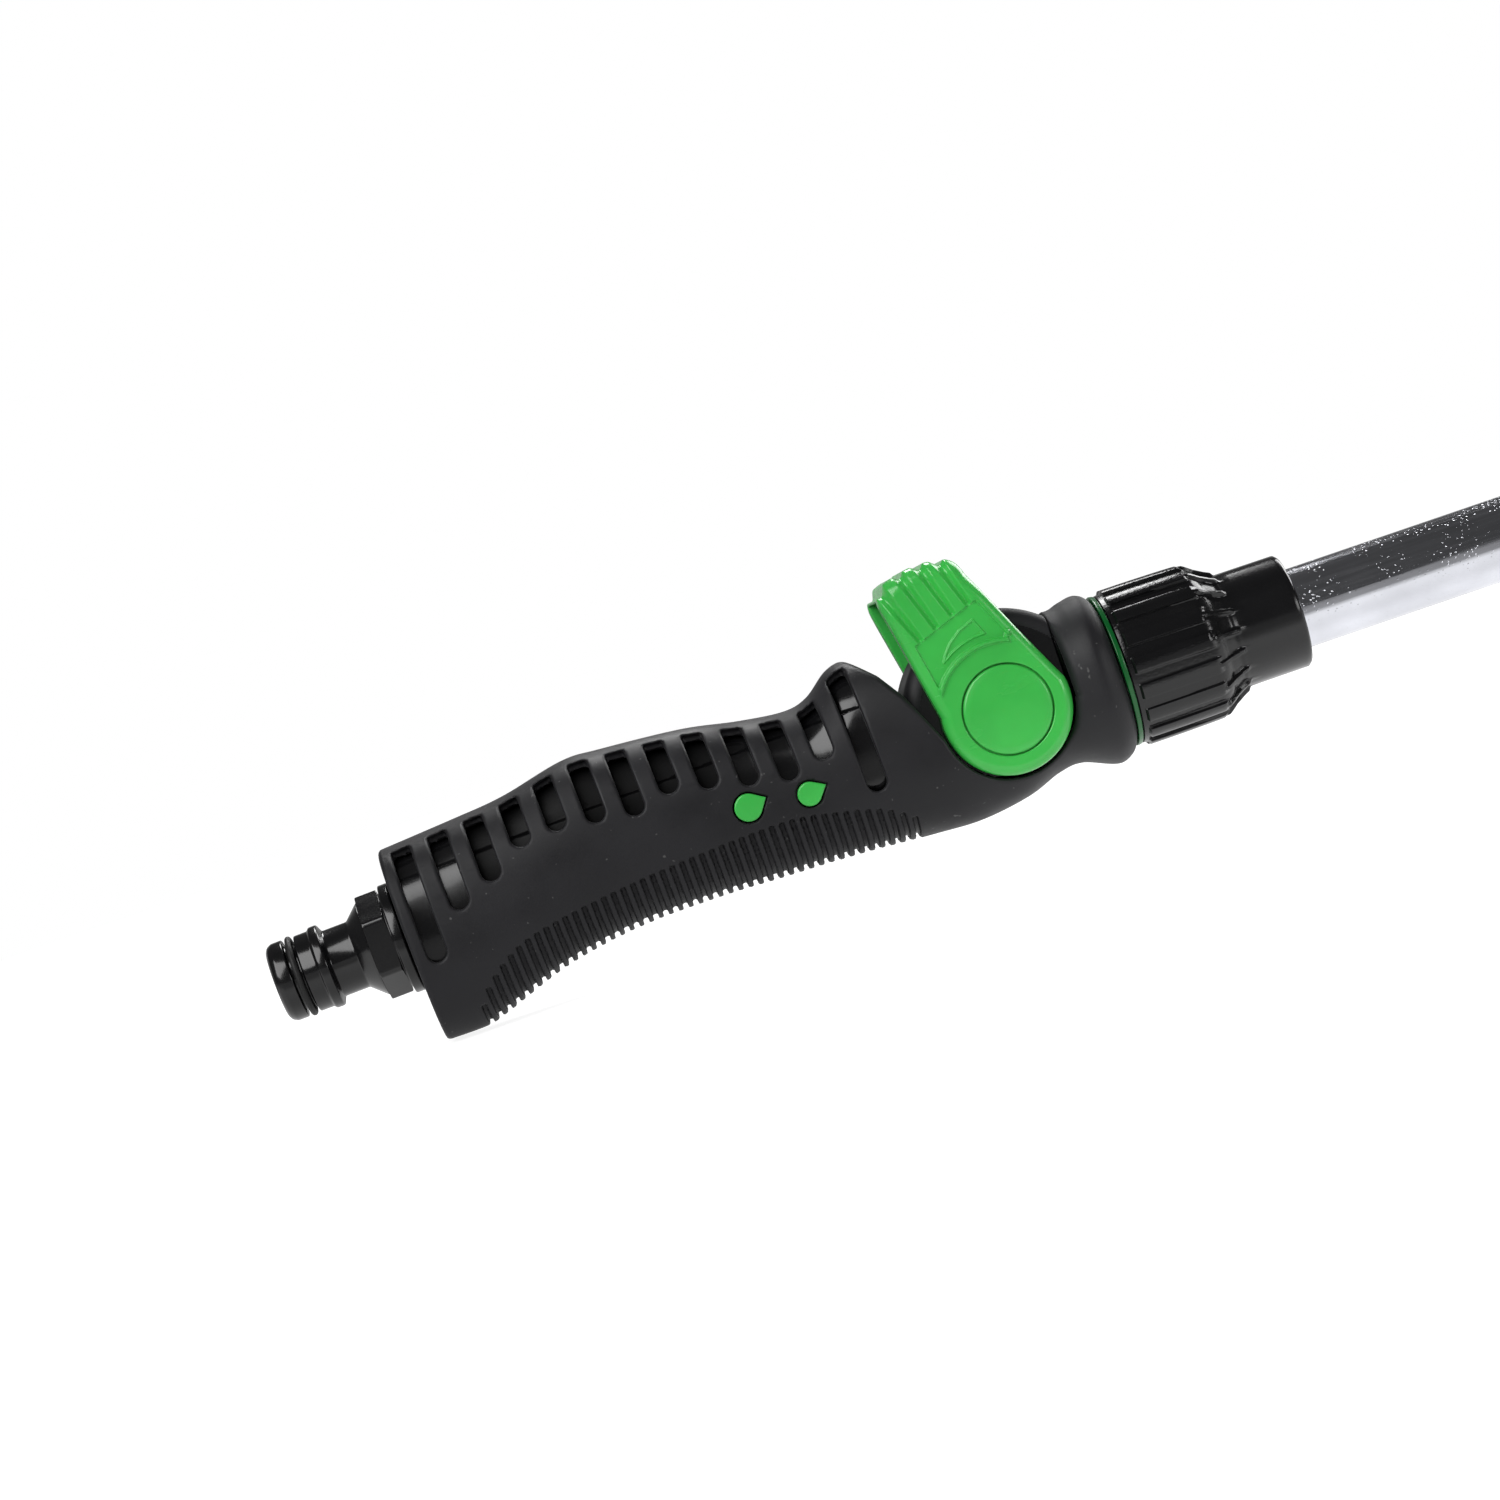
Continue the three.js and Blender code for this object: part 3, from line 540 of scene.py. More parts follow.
def skin_shape(x, y, z):
    """The soft skin: slots, comb, drops' pockets and the lever's opening."""
    along, _ = grip_frame(x, z)
    outside = grip_body(x, y, z)
    beside_barrel = smooth((np.abs(y) - 9) / 3)
    change = NOTCH_FRONT_ROUNDER * beside_barrel - NOTCH_FRONT_SHARPER
    rounding = NOTCH_ROUNDING + change * smooth((x - 9) / 3)
    skin = less(outside, lever_opening(x, z), rounding)
    skin = less(skin, slots(x, y, z), 0.55)
    skin = meet(skin, GRIP_REAR - along, 0.9)
    skin = meet(skin, x - GRIP_FRONT, 1.3)
    skin = meet(skin, REST_LEVEL - z, 0.7)
    skin = less(skin, comb(x, z, outside), 0.25)
    skin = less(skin, drop_pockets(x, z), 0.15)
    return less(skin, grip_body(x, y, z, SKIN_THICKNESS))


def core_shape(x, y, z):
    """The rigid shell: set back from the slots in its middle, and all along above a ledge."""
    along, up = grip_frame(x, z)
    step = CORE_SET_BACK * smooth((along - CORE_STEP) / 1.2)
    rise = CORE_RISE_HEIGHT * smooth((along - CORE_RISE) / 2)
    above_ledge = CORE_LEDGE_DEPTH * smooth((up - CORE_LEDGE) / 0.5)
    core = grip_body(x, y, z, SKIN_THICKNESS + GAP, step - rise + above_ledge)
    core = meet(core, GRIP_REAR - along, 0.5)
    core = meet(core, x - CORE_FRONT, 0.5)
    inside = grip_body(x, y, z, SKIN_THICKNESS + GAP + CORE_WALL, CORE_SIDE_WALL)
    core = less(core, meet(inside, CORE_HOLLOW_START - x, 0.5))
    core = less(core, rod(along, y, up, *CORE_BORE))
    return less(core, rod(along, y, up, *CORE_FLANGE_BORE), 0.3)


def housing_bores(x, y, z):
    """The cross bore for the plug, the waterway and the seats for the seals and the tube."""
    along, up = grip_frame(x, z)
    behind_plug = [(-60, 0, 4.0), (-60, -16.7, 6.3), (-60, -20.0, 8.1), (-14.7, 0, 6.2)]
    before_plug = [(0, 14.7, 6.2), (0, 60, 4.0), (24.5, 60, TUBE_RADIUS + GAP), (28.9, 31.1, 10.3)]
    return both(
        np.hypot(x, z) - PLUG_BORE,
        *(rod(along, y, up, *bore) for bore in behind_plug),
        *(rod(x, y, z, *bore) for bore in before_plug),
    )


def housing_shape(x, y, z):
    """The valve's body: belly, barrel and spigot, with its bores."""
    side = np.abs(y)
    middle = np.hypot(x, z)
    length = both_sides(x, CORE_FRONT + GAP, GRIP_FRONT - GAP)
    belly = meet(grip_body(x, y, z, SKIN_THICKNESS + GAP), length, 0.4)
    belly = less(belly, polygon(NOTCH, x, z), 0.4)
    belly = less(belly, meet(middle - WINDOW_RADIUS, BARREL_HALF_WIDTH - side), 0.4)
    barrel = meet(middle - BARREL_RADIUS, side - BARREL_HALF_WIDTH, 3.0)
    barrel = meet(barrel, meet(x - NOTCH_FRONT + GAP, -3 - z), 0.2)
    spigot = rod(x, y, z, 18, SPIGOT_END, SPIGOT_RADIUS)
    return less(both(belly, barrel, spigot), housing_bores(x, y, z))


def quadratic(start, control, end, steps=36):
    """Points of a curve from start to end that bends towards control, without start itself."""
    t = np.linspace(0, 1, steps + 1)[1:, None]
    a, b, c = (np.array(p, float) for p in (start, control, end))
    return [tuple(p) for p in (1 - t) ** 2 * a + 2 * t * (1 - t) * b + t * t * c]


def lever_outline():
    """The yoke seen from the side: a round boss and an arm that leans back to the thumb pad."""
    turns = np.linspace(0.2, -math.pi - 0.18, 120)
    boss = [(BOSS_RADIUS * math.cos(a), BOSS_RADIUS * math.sin(a)) for a in turns]
    rear = [(-14.7, 14.0), (-16.9, 25.2), *quadratic((-16.9, 25.2), (-17.8, 29.4), (-13.6, 30.7))]
    pad_top = quadratic((-13.6, 30.7), (-7.6, 32.6), (-2.0, 31.0))
    pad_tip = quadratic((-2.0, 31.0), (0.0, 30.2), (0.7, 27.3))
    front = [(4.8, 18.4), *quadratic((4.8, 18.4), (8.0, 11.3), (12.4, 2.6))]
    return rear + pad_top + pad_tip + front + boss


LEVER_OUTLINE = lever_outline()


def rib_grooves(x, z):
    """How far the grooves between the thumb pad's ribs are sunk."""
    wide, narrow = GROOVE_HALF_WIDTHS
    sunk = 0.0
    for top, foot in RIB_GROOVES:
        half_width = wide + (narrow - wide) * stroke_share(top, foot, x, z)
        beside = np.minimum(stroke(top, foot, x, z) / half_width, 1)
        sunk = np.maximum(sunk, GROOVE_DEPTH * (0.5 + 0.5 * np.cos(math.pi * beside)))
    return sunk


def side_panel(x, z, edge):
    """How far the panel is sunk, between the ribs' feet and the boss."""
    (ax, az), (bx, bz) = RIB_GROOVES[0][1], RIB_GROOVES[-1][1]
    length = math.hypot(bx - ax, bz - az)
    above_feet = ((bx - ax) * (z - az) - (bz - az) * (x - ax)) / length
    above_boss = PANEL_FOOT - np.hypot(x, z)
    panel = meet(meet(edge + PANEL_MARGIN, above_boss, 0.6), above_feet + 0.3, 0.4)
    return PANEL_DEPTH * smooth(-panel / 0.28)


def raised_lines(x, z):
    """How far the wedge's outline and the curved bead stand out."""
    wedge_line = np.abs(polygon(WEDGE, x, z))
    past_ends = np.maximum(np.abs(x - BEAD_MIDDLE) - BEAD_HALF_LENGTH, -z)
    bead = np.maximum(np.abs(np.hypot(x, z) - BEAD_RADIUS), past_ends)
    bead = np.minimum(bead, stroke(*BEAD_HOOK, x, z))
    wedge_height = WEDGE_HEIGHT * smooth(1.2 - wedge_line / 0.28)
    return np.maximum(wedge_height, BEAD_HEIGHT * smooth(1.4 - bead / 0.42))


def lever_relief(x, z, edge):
    """How far the lever's surface is sunk in all, or raised where this is negative."""
    return np.maximum(rib_grooves(x, z), side_panel(x, z, edge)) - raised_lines(x, z)


def lever_shape(x, y, z):
    """The yoke: two sides and a thumb pad, hollow between, with seats for the plug and the caps."""
    side = np.abs(y)
    middle = np.hypot(x, z)
    edge = polygon(LEVER_OUTLINE, x, z)
    fillet = LEVER_FILLET + (PAD_FILLET - LEVER_FILLET) * smooth((z - 22) / 6)
    body = meet(edge, side - LEVER_OUTER, fillet) + lever_relief(x, z, edge)
    hollow = both(middle - BRIDGE_RADIUS, polygon(PAD_HOLLOW, x, z))
    body = less(body, meet(hollow, side - LEVER_INNER, 0.6), 0.4)
    square = np.maximum(np.abs(x), np.abs(z)) - PLUG_SQUARE
    body = less(body, meet(square, side - PLUG_SQUARE_END))
    body = less(body, both(middle - SCREW_HOLE, meet(middle - SCREW_HEAD_HOLE, SCREW_SEAT - side)))
    return less(body, meet(middle - CAP_RADIUS - GAP, CAP_SEAT - side), 0.25)


def drop_shape(drop, side):
    """A drop that stands slightly proud of the skin, with a soft edge."""

    def shape(x, y, z):
        outside = meet(drop_outline(drop, x, z), grip_body(x, y, z, -DROP_PROUD), 0.35)
        behind = meet(-grip_body(x, y, z, SKIN_THICKNESS), 6 - side * y)
        return meet(outside, behind)

    return shape


def face_shape(x, y, z):
    """The rose's face: a thin disc with a raised nozzle round each hole."""
    radius = np.hypot(y, z)
    disc = meet(radius - FACE_RADIUS, both_sides(x, FACE_BACK, FACE_FRONT), 0.25)
    angle = np.arctan2(z, y)
    nozzles = np.inf
    for count, row in FACE_ROWS:
        step = 2 * math.pi / count
        turned_back = angle - np.round(angle / step) * step
        off = np.hypot(radius * np.cos(turned_back) - row, radius * np.sin(turned_back))
        nozzles = np.minimum(nozzles, off)
    rims = meet(nozzles - NOZZLE_RIM, both_sides(x, FACE_BACK + 0.2, FACE_FRONT + NOZZLE_RISE), 0.35)
    pierced = less(both(disc, rims), nozzles - NOZZLE_HOLE, 0.15)
    return less(pierced, radius - SCREW_HOLE, 0.1)


# ---- Materials -----------------------------------------------------------------------------------


def new_material(name, colour, roughness, **sockets):
    """A material with a Principled shader; sockets are its other inputs, in words joined by _."""
    material = bpy.data.materials.new(name)
    material.use_nodes = True
    shader = material.node_tree.nodes["Principled BSDF"]
    shader.inputs["Base Color"].default_value = (*colour, 1)
    shader.inputs["Roughness"].default_value = roughness
    for socket, value in sockets.items():
        shader.inputs[socket.replace("_", " ")].default_value = value
    return material


def node(material, kind, **settings):
    """A new shader node. settings are its inputs' values, or else its own properties."""
    made = material.node_tree.nodes.new(kind)
    for key, value in settings.items():
        if key in made.inputs:
            made.inputs[key].default_value = value
        else:
            setattr(made, key, value)
    return made


def wire(material, source, target):
    """Links one node's output to another's input."""
    material.node_tree.links.new(source, target)


def multiply(material, first, second):
    """The product of two outputs."""
    product = node(material, "ShaderNodeMath", operation="MULTIPLY")
    wire(material, first, product.inputs[0])
    wire(material, second, product.inputs[1])
    return product.outputs["Value"]


def object_place(material):
    """The shaded point in the piece's own coordinates, whole and split in X, Y and Z."""
    place = node(material, "ShaderNodeTexCoord")
    split = node(material, "ShaderNodeSeparateXYZ")
    wire(material, place.outputs["Object"], split.inputs["Vector"])
    return place.outputs["Object"], split.outputs


def noise(material, scale, detail=3.0, stretch=(1, 1, 1)):
    """Noise fixed to the piece. scale is in features per metre, and stretch lengthens them."""
    place = node(material, "ShaderNodeTexCoord")
    mapping = node(material, "ShaderNodeMapping")
    mapping.inputs["Scale"].default_value = [1 / s for s in stretch]
    texture = node(material, "ShaderNodeTexNoise", Scale=scale, Detail=detail)
    wire(material, place.outputs["Object"], mapping.inputs["Vector"])
    wire(material, mapping.outputs["Vector"], texture.inputs["Vector"])
    return texture.outputs["Fac"]


def ramp(material, source, low, high, at=(0.35, 0.65)):
    """source mapped to the range from low to high."""
    mapped = node(material, "ShaderNodeMapRange")
    mapped.inputs["From Min"].default_value, mapped.inputs["From Max"].default_value = at
    mapped.inputs["To Min"].default_value, mapped.inputs["To Max"].default_value = low, high
    wire(material, source, mapped.inputs["Value"])
    return mapped.outputs["Result"]


def vary_roughness(material, source, low, high):
    """Lets the roughness follow source, from low to high."""
    shader = material.node_tree.nodes["Principled BSDF"]
    wire(material, ramp(material, source, low, high), shader.inputs["Roughness"])


def vary_colour(material, source, first, second, at=(0.35, 0.65)):
    """Mixes two colours by source, on top of what the shader already has."""
    shader = material.node_tree.nodes["Principled BSDF"]
    mix = node(material, "ShaderNodeMix", data_type="RGBA")
    wire(material, ramp(material, source, 0, 1, at), mix.inputs["Factor"])
    base = shader.inputs["Base Color"]
    colour_in = [i for i in mix.inputs if i.type == "RGBA"]
    colour_in[0].default_value = (*first, 1)
    colour_in[1].default_value = (*second, 1)
    if base.is_linked:
        wire(material, base.links[0].from_socket, colour_in[0])
    wire(material, [o for o in mix.outputs if o.type == "RGBA"][0], base)


def raise_surface(material, source, height):
    """Adds a bump whose height is in millimetres."""
    shader = material.node_tree.nodes["Principled BSDF"]
    bump = node(material, "ShaderNodeBump", Distance=height * MM)
    normal = shader.inputs["Normal"]
    if normal.is_linked:
        wire(material, normal.links[0].from_socket, bump.inputs["Normal"])
    wire(material, source, bump.inputs["Height"])
    wire(material, bump.outputs["Normal"], normal)


def rubber(name, colour, dust):
    """Matte moulded rubber: fine grain, worn patches, a few specks of dust."""
    material = new_material(name, colour, 0.55, Sheen_Weight=0.03, Sheen_Roughness=0.4,
                            Specular_IOR_Level=0.36)
    vary_roughness(material, noise(material, 90, 5), 0.46, 0.62)
    lighter = [c * 1.5 + 0.003 for c in colour]
    vary_colour(material, noise(material, 45, 6), colour, lighter)
    vary_colour(material, noise(material, 900, 1), colour, dust, at=(0.735, 0.80))
    raise_surface(material, noise(material, 5200, 2), 0.018)
    raise_surface(material, noise(material, 260, 3), 0.03)
    return material


def gloss(name, colour, low=0.13, high=0.24, grain=0.005, wave=0.012, **sockets):
    """Glossy moulded plastic: slight flow waves, fine grain, faint lengthwise scuffs."""
    material = new_material(name, colour, low, **sockets)
    vary_roughness(material, noise(material, 140, 6, stretch=(3, 1, 1)), low, high)
    vary_colour(material, noise(material, 60, 4), colour, [c * 1.18 + 0.0008 for c in colour])
    raise_surface(material, noise(material, 3600, 2), grain)
    raise_surface(material, noise(material, 110, 2), wave)
    return material


def textured_gloss(name, colour):
    """The union nut's glossy plastic: a moulding texture on its ribs, which fades on its sleeve."""
    material = gloss(name, colour, 0.14, 0.24)
    _, split = object_place(material)
    fade = in_frame([(x, 0, 0) for x in NUT_TEXTURE_FADE])[:, 0]
    share = ramp(material, split["X"], 1, 0.15, at=fade)
    grain = noise(material, 2200, 3, stretch=(2, 1, 1))
    raise_surface(material, multiply(material, grain, share), 0.045)
    return material


def metal(name, colour, low, high, drops=0.0):
    """Drawn metal: lines along the tube, and dried water marks."""
    material = new_material(name, colour, low, Metallic=1.0)
    vary_roughness(material, noise(material, 1400, 4, stretch=(40, 1, 1)), low, high)
    vary_colour(material, noise(material, 80, 5), colour, [c * 0.86 for c in colour])
    raise_surface(material, noise(material, 2600, 2, stretch=(60, 1, 1)), 0.004)
    if drops:
        spots = node(material, "ShaderNodeTexVoronoi", Scale=1400, feature="F1")
        place = node(material, "ShaderNodeTexCoord")
        wire(material, place.outputs["Object"], spots.inputs["Vector"])
        raised = ramp(material, spots.outputs["Distance"], 1, 0, at=(0.04, 0.24))
        patches = ramp(material, noise(material, 140, 3), 0.1, 1, at=(0.4, 0.55))
        raise_surface(material, multiply(material, raised, patches), drops)
    return material


BLACK_SKIN = (0.0064, 0.0062, 0.0078)
GREEN = (0.047, 0.475, 0.071)
DARK_GREEN = (0.002, 0.1, 0.018)
MATERIALS = {
    "grip_rubber": rubber("grip_rubber", BLACK_SKIN, (0.07, 0.07, 0.07)),
    "black_gloss": gloss("black_gloss", (0.0045, 0.0045, 0.005), Coat_Weight=0.25, Coat_Roughness=0.08),
    # A darker, duller copy of the black gloss: painted shade for the core's middle behind the slots.
    "black_painted_shade": gloss("black_painted_shade", (0.002, 0.002, 0.0022), 0.42, 0.55, Specular_IOR_Level=0.16),
    "nut_black": textured_gloss("nut_black", (0.0045, 0.0045, 0.005)),
    "seal_rubber": rubber("seal_rubber", (0.008, 0.008, 0.008), (0.03, 0.03, 0.03)),
    "lever_green": gloss("lever_green", GREEN, 0.2, 0.3, grain=0.003, wave=0.004, Coat_Weight=0.15,
                         Coat_Roughness=0.1, Subsurface_Weight=0.08, Subsurface_Scale=0.002),
    "trim_green": gloss("trim_green", DARK_GREEN, 0.22, 0.32),
    "inner_plastic": gloss("inner_plastic", (0.66, 0.66, 0.62), 0.3, 0.42),
    "tube_metal": metal("tube_metal", (0.72, 0.73, 0.78), 0.1, 0.2, drops=0.05),
    "screw_steel": metal("screw_steel", (0.6, 0.6, 0.61), 0.22, 0.38),
}

# ---- Handle --------------------------------------------------------------------------------------


def make_grip():
    """The skin, the core and the valve's body, each with its finish, and painted shade on the core's
    middle.
    """
    low, high = (-125.5, -17.6, -27.5), (24.5, 17.6, 20.6)
    rubbery = MATERIALS["grip_rubber"]
    sculpt("grip_cover", skin_shape, low, high, (COMB_PITCH / 5, 0.5, 0.5), rubbery,
           "handle", ["grip_skin"], share=0.5)
    core = sculpt("grip_shell", core_shape, low, (-23.5, 15, 18), 0.62, MATERIALS["black_gloss"],
                  "handle", ["grip_core"])
    # The core's set-back middle gets the darker, duller black: painted shade.
    second_finish(core, MATERIALS["black_painted_shade"], painted_shade_core_middle)
    valve = sculpt("valve_body", housing_shape, (-25, -15, -18), (37, 15, 20.5), 0.4,
                   MATERIALS["black_gloss"], "handle", ["valve_housing"])
    second_finish(valve, rubbery, on_barrel)


def second_finish(piece, material, chosen):
    """Gives the faces where chosen(x, z) is true another finish."""
    mesh = piece.data
    mesh.materials.append(material)
    middles = np.empty(len(mesh.polygons) * 3, np.float32)
    mesh.polygons.foreach_get("center", middles)
    x, _, z = (middles.reshape(-1, 3) / MM - PIVOT).T
    mesh.polygons.foreach_set("material_index", chosen(x, z).astype(np.int32))


def on_barrel(x, z):
    """The barrel's round outside, which is soft to the touch like the skin."""
    return (np.hypot(x, z) > BARREL_RADIUS - BARREL_SOFT_EDGE) & (z > 0)


def painted_shade_core_middle(x, z):
    """The middle of the core, set back from the slots, which gets a darker, duller black as painted
    shade.
    """
    along = grip_frame(x, z)[0]
    return (along > CORE_STEP) & (along < CORE_RISE)


def make_drops():
    """Two green drops on each side."""
    for side, side_name in ((1, "left"), (-1, "right")):
        for end, drop in DROPS.items():
            low = (drop["x"] - 4, min(side * 9, side * 16), drop["z"] - 4)
            high = (drop["x"] + 5, max(side * 9, side * 16), drop["z"] + 4)
            replaced = [f"drop_inlay_{side_name}_{end}"]
            sculpt(f"drop_{side_name}_{end}", drop_shape(drop, side), low, high, 0.16,
                   MATERIALS["lever_green"], "handle", replaced)


def hexagon(x, radius, angle):
    """The connector's hexagon, from HEX_START to HEX_END."""
    half_face = math.pi / 6
    face = (angle + half_face) % (2 * half_face) - half_face
    flat = HEX_CORNER * math.cos(half_face) / np.cos(face)
    here = (x > CONNECTOR_TIP + HEX_START) & (x < CONNECTOR_TIP + HEX_END) & (radius > 9.3)
    return np.where(here, np.minimum(flat, radius - 0.15), radius)


def make_connector():
    """The hose end and its seal, from profiles of (distance from the tip, radius)."""
    nose = [(0, 4.2), (0, 6.6), (0.5, 7.4), (1.4, 7.85), (3.6, 7.85), (3.6, 6.6), (6, 6.6), (6, 7.7),
            (8.8, 7.7)]
    waist = [(9.2, 8.25), (10.8, 8.25), (11.5, 6.7), (16.5, 6.7), (19.2, 9.2)]
    nut = [(19.6, 9.5), (19.6, 10.6), (20.4, 10.6), (21.8, 10.6), (23.2, 10.6), (24.0, 10.6)]
    flange = [(24.05, 9.6), (24.4, 9.6), (24.5, 11.0), (26.4, 11.0), (26.4, 9.0), (43.5, 9.0),
              (43.5, 8.1)]
    inside = [(40.5, 8.1), (40.5, 6.3), (37.5, 6.3), (37.5, 4.2)]
    profile = [(CONNECTOR_TIP + d, r) for d, r in nose + waist + nut + flange + inside]
    turn("hose_nose", soften(profile, 0.3), MATERIALS["black_gloss"], "handle", "black_gloss",
         ["hose_connector"], around=180, relief=hexagon, place=tilted)
    middle, radius, thickness = CONNECTOR_TIP + 4.8, 7.5, 0.6
    turns = np.linspace(0, 2 * math.pi, 20, endpoint=False)
    seal = [(middle + thickness * math.cos(a), radius + thickness * math.sin(a)) for a in turns]
    turn("nose_seal", seal, MATERIALS["seal_rubber"], "handle", "seal_rubber", ["connector_o_ring"],
         place=tilted)


def make_trim():
    """The green ring between the collar and the nut."""
    profile = [(23.2, 12.9), (24.2, 12.9), (24.2, 15.1), (23.2, 15.25)]
    turn("trim_band", soften(profile, 0.25), MATERIALS["trim_green"], "handle", "trim_green",
         ["trim_ring"], around=128)


# ---- Lever ---------------------------------------------------------------------------------------


def turned_across(side):
    """A place() for turn() that lays the piece's axis across the wand, out to side 1 or -1."""
    return lambda points: np.stack([points[:, 1], side * points[:, 0], points[:, 2]], 1)


def make_lever():
    """The green yoke and the round caps over its screws."""
    sculpt("thumb_yoke", lever_shape, (-19, -16.6, -13.6), (13.8, 16.6, 33), (0.2, 0.33, 0.2),
           MATERIALS["lever_green"], "lever", ["thumb_lever"], share=0.7)
    dome = [(14.9, 0), (14.9, CAP_RADIUS), (15.45, CAP_RADIUS), (15.75, 8.3), (15.95, 7.2),
            (16.2, 4.2), (16.32, 2), (16.36, 0)]
    for side, side_name in ((1, "left"), (-1, "right")):
        turn(f"round_cap_{side_name}", soften(dome, 0.3), MATERIALS["lever_green"], "lever",
             "lever_green", [f"lever_cap_{side_name}"], around=128, place=turned_across(side))


# ---- Clamp ---------------------------------------------------------------------------------------


def nut_relief(x, radius, angle):
    """Broad crowned ribs along the nut, each running on as a thin fin down the cone.

    Some of the bore's points lie past NUT_RELIEF_FROM too, so they follow the ribs and fins.
    """
    pitch = 2 * math.pi / NUT_RIBS
    off = np.abs((angle + pitch / 2) % pitch - pitch / 2)
    beside = off * radius
    on_rib = smooth((NUT_RIB_HALF_WIDTH - beside) / 0.2)
    rib = on_rib * smooth((x - 25.3) / 0.4) * smooth((42.4 - x) / 1.4)
    on_fin = smooth((NUT_FIN_HALF_WIDTH - beside) / 0.25)
    fin = on_fin * smooth((x - 41.4) / 0.8) * smooth((47.9 - x) / 0.8)
    sunk = smooth((x - 43.6) / 0.25) * smooth((47.0 - x) / 0.6) * (1 - fin)
    crown = NUT_RIB_HEIGHT + NUT_CROWN * np.clip(1 - (beside / NUT_RIB_HALF_WIDTH) ** 2, 0, 1)
    height = crown * rib + NUT_FIN_HEIGHT * fin - NUT_CONE_STEP * sunk
    return radius + np.where(radius > NUT_RELIEF_FROM, height, 0)


def make_nut():
    """The union nut. Its points lie closer together on the cone, and at its ribs' and fins' edges."""
    outside = [
        (NUT_REAR, 15.0), (25.2, 15.14), (25.3, 15.14), (25.5, 15.14), (25.7, 15.15), (27, 15.16),
        (30, 15.16), (34, 15.12), (38, 15.05), (40, 15.0), (41, 14.95), (41.8, 14.8), (42.6, 14.4),
        (43.3, 13.9), (43.8, 13.5), (44.2, 13.2), (44.8, 12.85), (45.4, 12.5), (46.0, 12.15),
        (46.6, 11.85), (47.2, 11.6), (48, 11.42), (50, 11.4), (55, 11.38), (59.2, 11.36),
        (60.0, 11.35), (60.5, 10.9), (60.5, 8.9),
    ]
    inside = [(60.0, 8.6), (45.5, 8.6), (45.4, 11.5), (38, 11.5), (38, 12.95), (NUT_REAR, 12.95)]
    beside_rib = [0.6, 1.2, 1.7, 2.2, 3.4, 4.9, 5.4, 5.9, 6.6, 7.6]
    between_ribs = -9.5
    before_rib = [-degrees for degrees in reversed(beside_rib)]
    period = np.radians([between_ribs, *before_rib, 0, *beside_rib])
    angles = np.concatenate([period + 2 * math.pi * rib / NUT_RIBS for rib in range(NUT_RIBS)])
    dense = [outside[0]]
    for (x0, r0), (x1, r1) in zip(outside, outside[1:]):
        steps = max(1, round((x1 - x0) / 0.35)) if 40 < x1 < 49 else 1
        for n in range(1, steps + 1):
            dense.append((x0 + (x1 - x0) * n / steps, r0 + (r1 - r0) * n / steps))
    turn("ribbed_nut", dense + inside, MATERIALS["nut_black"], "nut", "black_gloss", ["union_nut"],
         relief=nut_relief, angles=angles)


# ---- Tube and rose -------------------------------------------------------------------------------


def make_tube():
    """The bare tube and the fitting at its end."""
    wall = [(TUBE_START, TUBE_BORE), (TUBE_START, TUBE_RADIUS)]
    stations = [(x, TUBE_RADIUS) for x in range(40, int(TUBE_END), 20)]
    end = [(TUBE_END, TUBE_RADIUS), (TUBE_END, TUBE_BORE)]
    turn("long_tube", soften(wall + stations + end, 0.25), MATERIALS["tube_metal"], "tube",
         "tube_metal", ["wand_tube"], around=128)
    fitting = [(408, 8.3), (420.3, 8.3), (420.3, 7), (432, 7), (432, 13), (421.5, 13), (421, 11),
               (410, 10.4), (408, 9.6)]
    turn("end_sleeve", soften(fitting, 0.4), MATERIALS["tube_metal"], "tube", "tube_metal",
         ["tube_end_fitting"], around=128)


def shell_flutes(x, radius, angle):
    """Shallow flutes round the neck of the rose, for the fingers."""
    wave = 0.5 - 0.5 * np.cos(FLUTES * angle)
    outside = (radius > 15.2) & (x < 437)
    depth = FLUTE_DEPTH * wave * smooth((x - 422.6) / 1) * smooth((436 - x) / 1.5)
    return radius - np.where(outside, depth, 0)


def ring_lobes(x, radius, angle):
    """Grip lobes round the rose's ring."""
    wave = (0.5 - 0.5 * np.cos(LOBES * angle)) ** 2
    depth = LOBE_DEPTH * wave * smooth((x - 447) / 1.2) * smooth((458.5 - x) / 1.2)
    return radius - np.where(radius > 25, depth, 0)


def make_rose():
    """The rose's cup, its ring and its face."""
    inside = [(422, 13.3), (434.6, 13.3), (434.6, 7), (437, 7), (447, 21.5), (456.3, 21.5)]
    cup = [(456.3, FACE_RADIUS), (445.7, FACE_RADIUS), (444, 22.4), (440, 19.3), (437.5, 17.6),
           (436, 16.9), (434, 16.6), (430, 16.45), (426, 16.3), (423.4, 16.2), (422, 15.4)]
    turn("rose_cup", soften(inside + cup, 0.5), MATERIALS["black_gloss"], "tube", "black_gloss",
         ["rose_shell"], around=192, relief=shell_flutes)
    lip = [(445.9, 23.8), (458.9, 23.8), (458.9, 21.3), (460.2, 21.8), (460.2, 25.2)]
    rim = [(x, 26) for x in (459.4, 457.5, 455, 452, 449, 448, 446.7)]
    ring = [*lip, *rim, (445.9, 25.2)]
    turn("rose_band", soften(ring, 0.3), MATERIALS["trim_green"], "tube", "trim_green", ["rose_ring"],
         around=240, relief=ring_lobes)
    sculpt("spray_face", face_shape, (457, -24.2, -24.2), (460, 24.2, 24.2), (0.2, 0.32, 0.32),
           MATERIALS["screw_steel"], "tube", ["rose_face"])


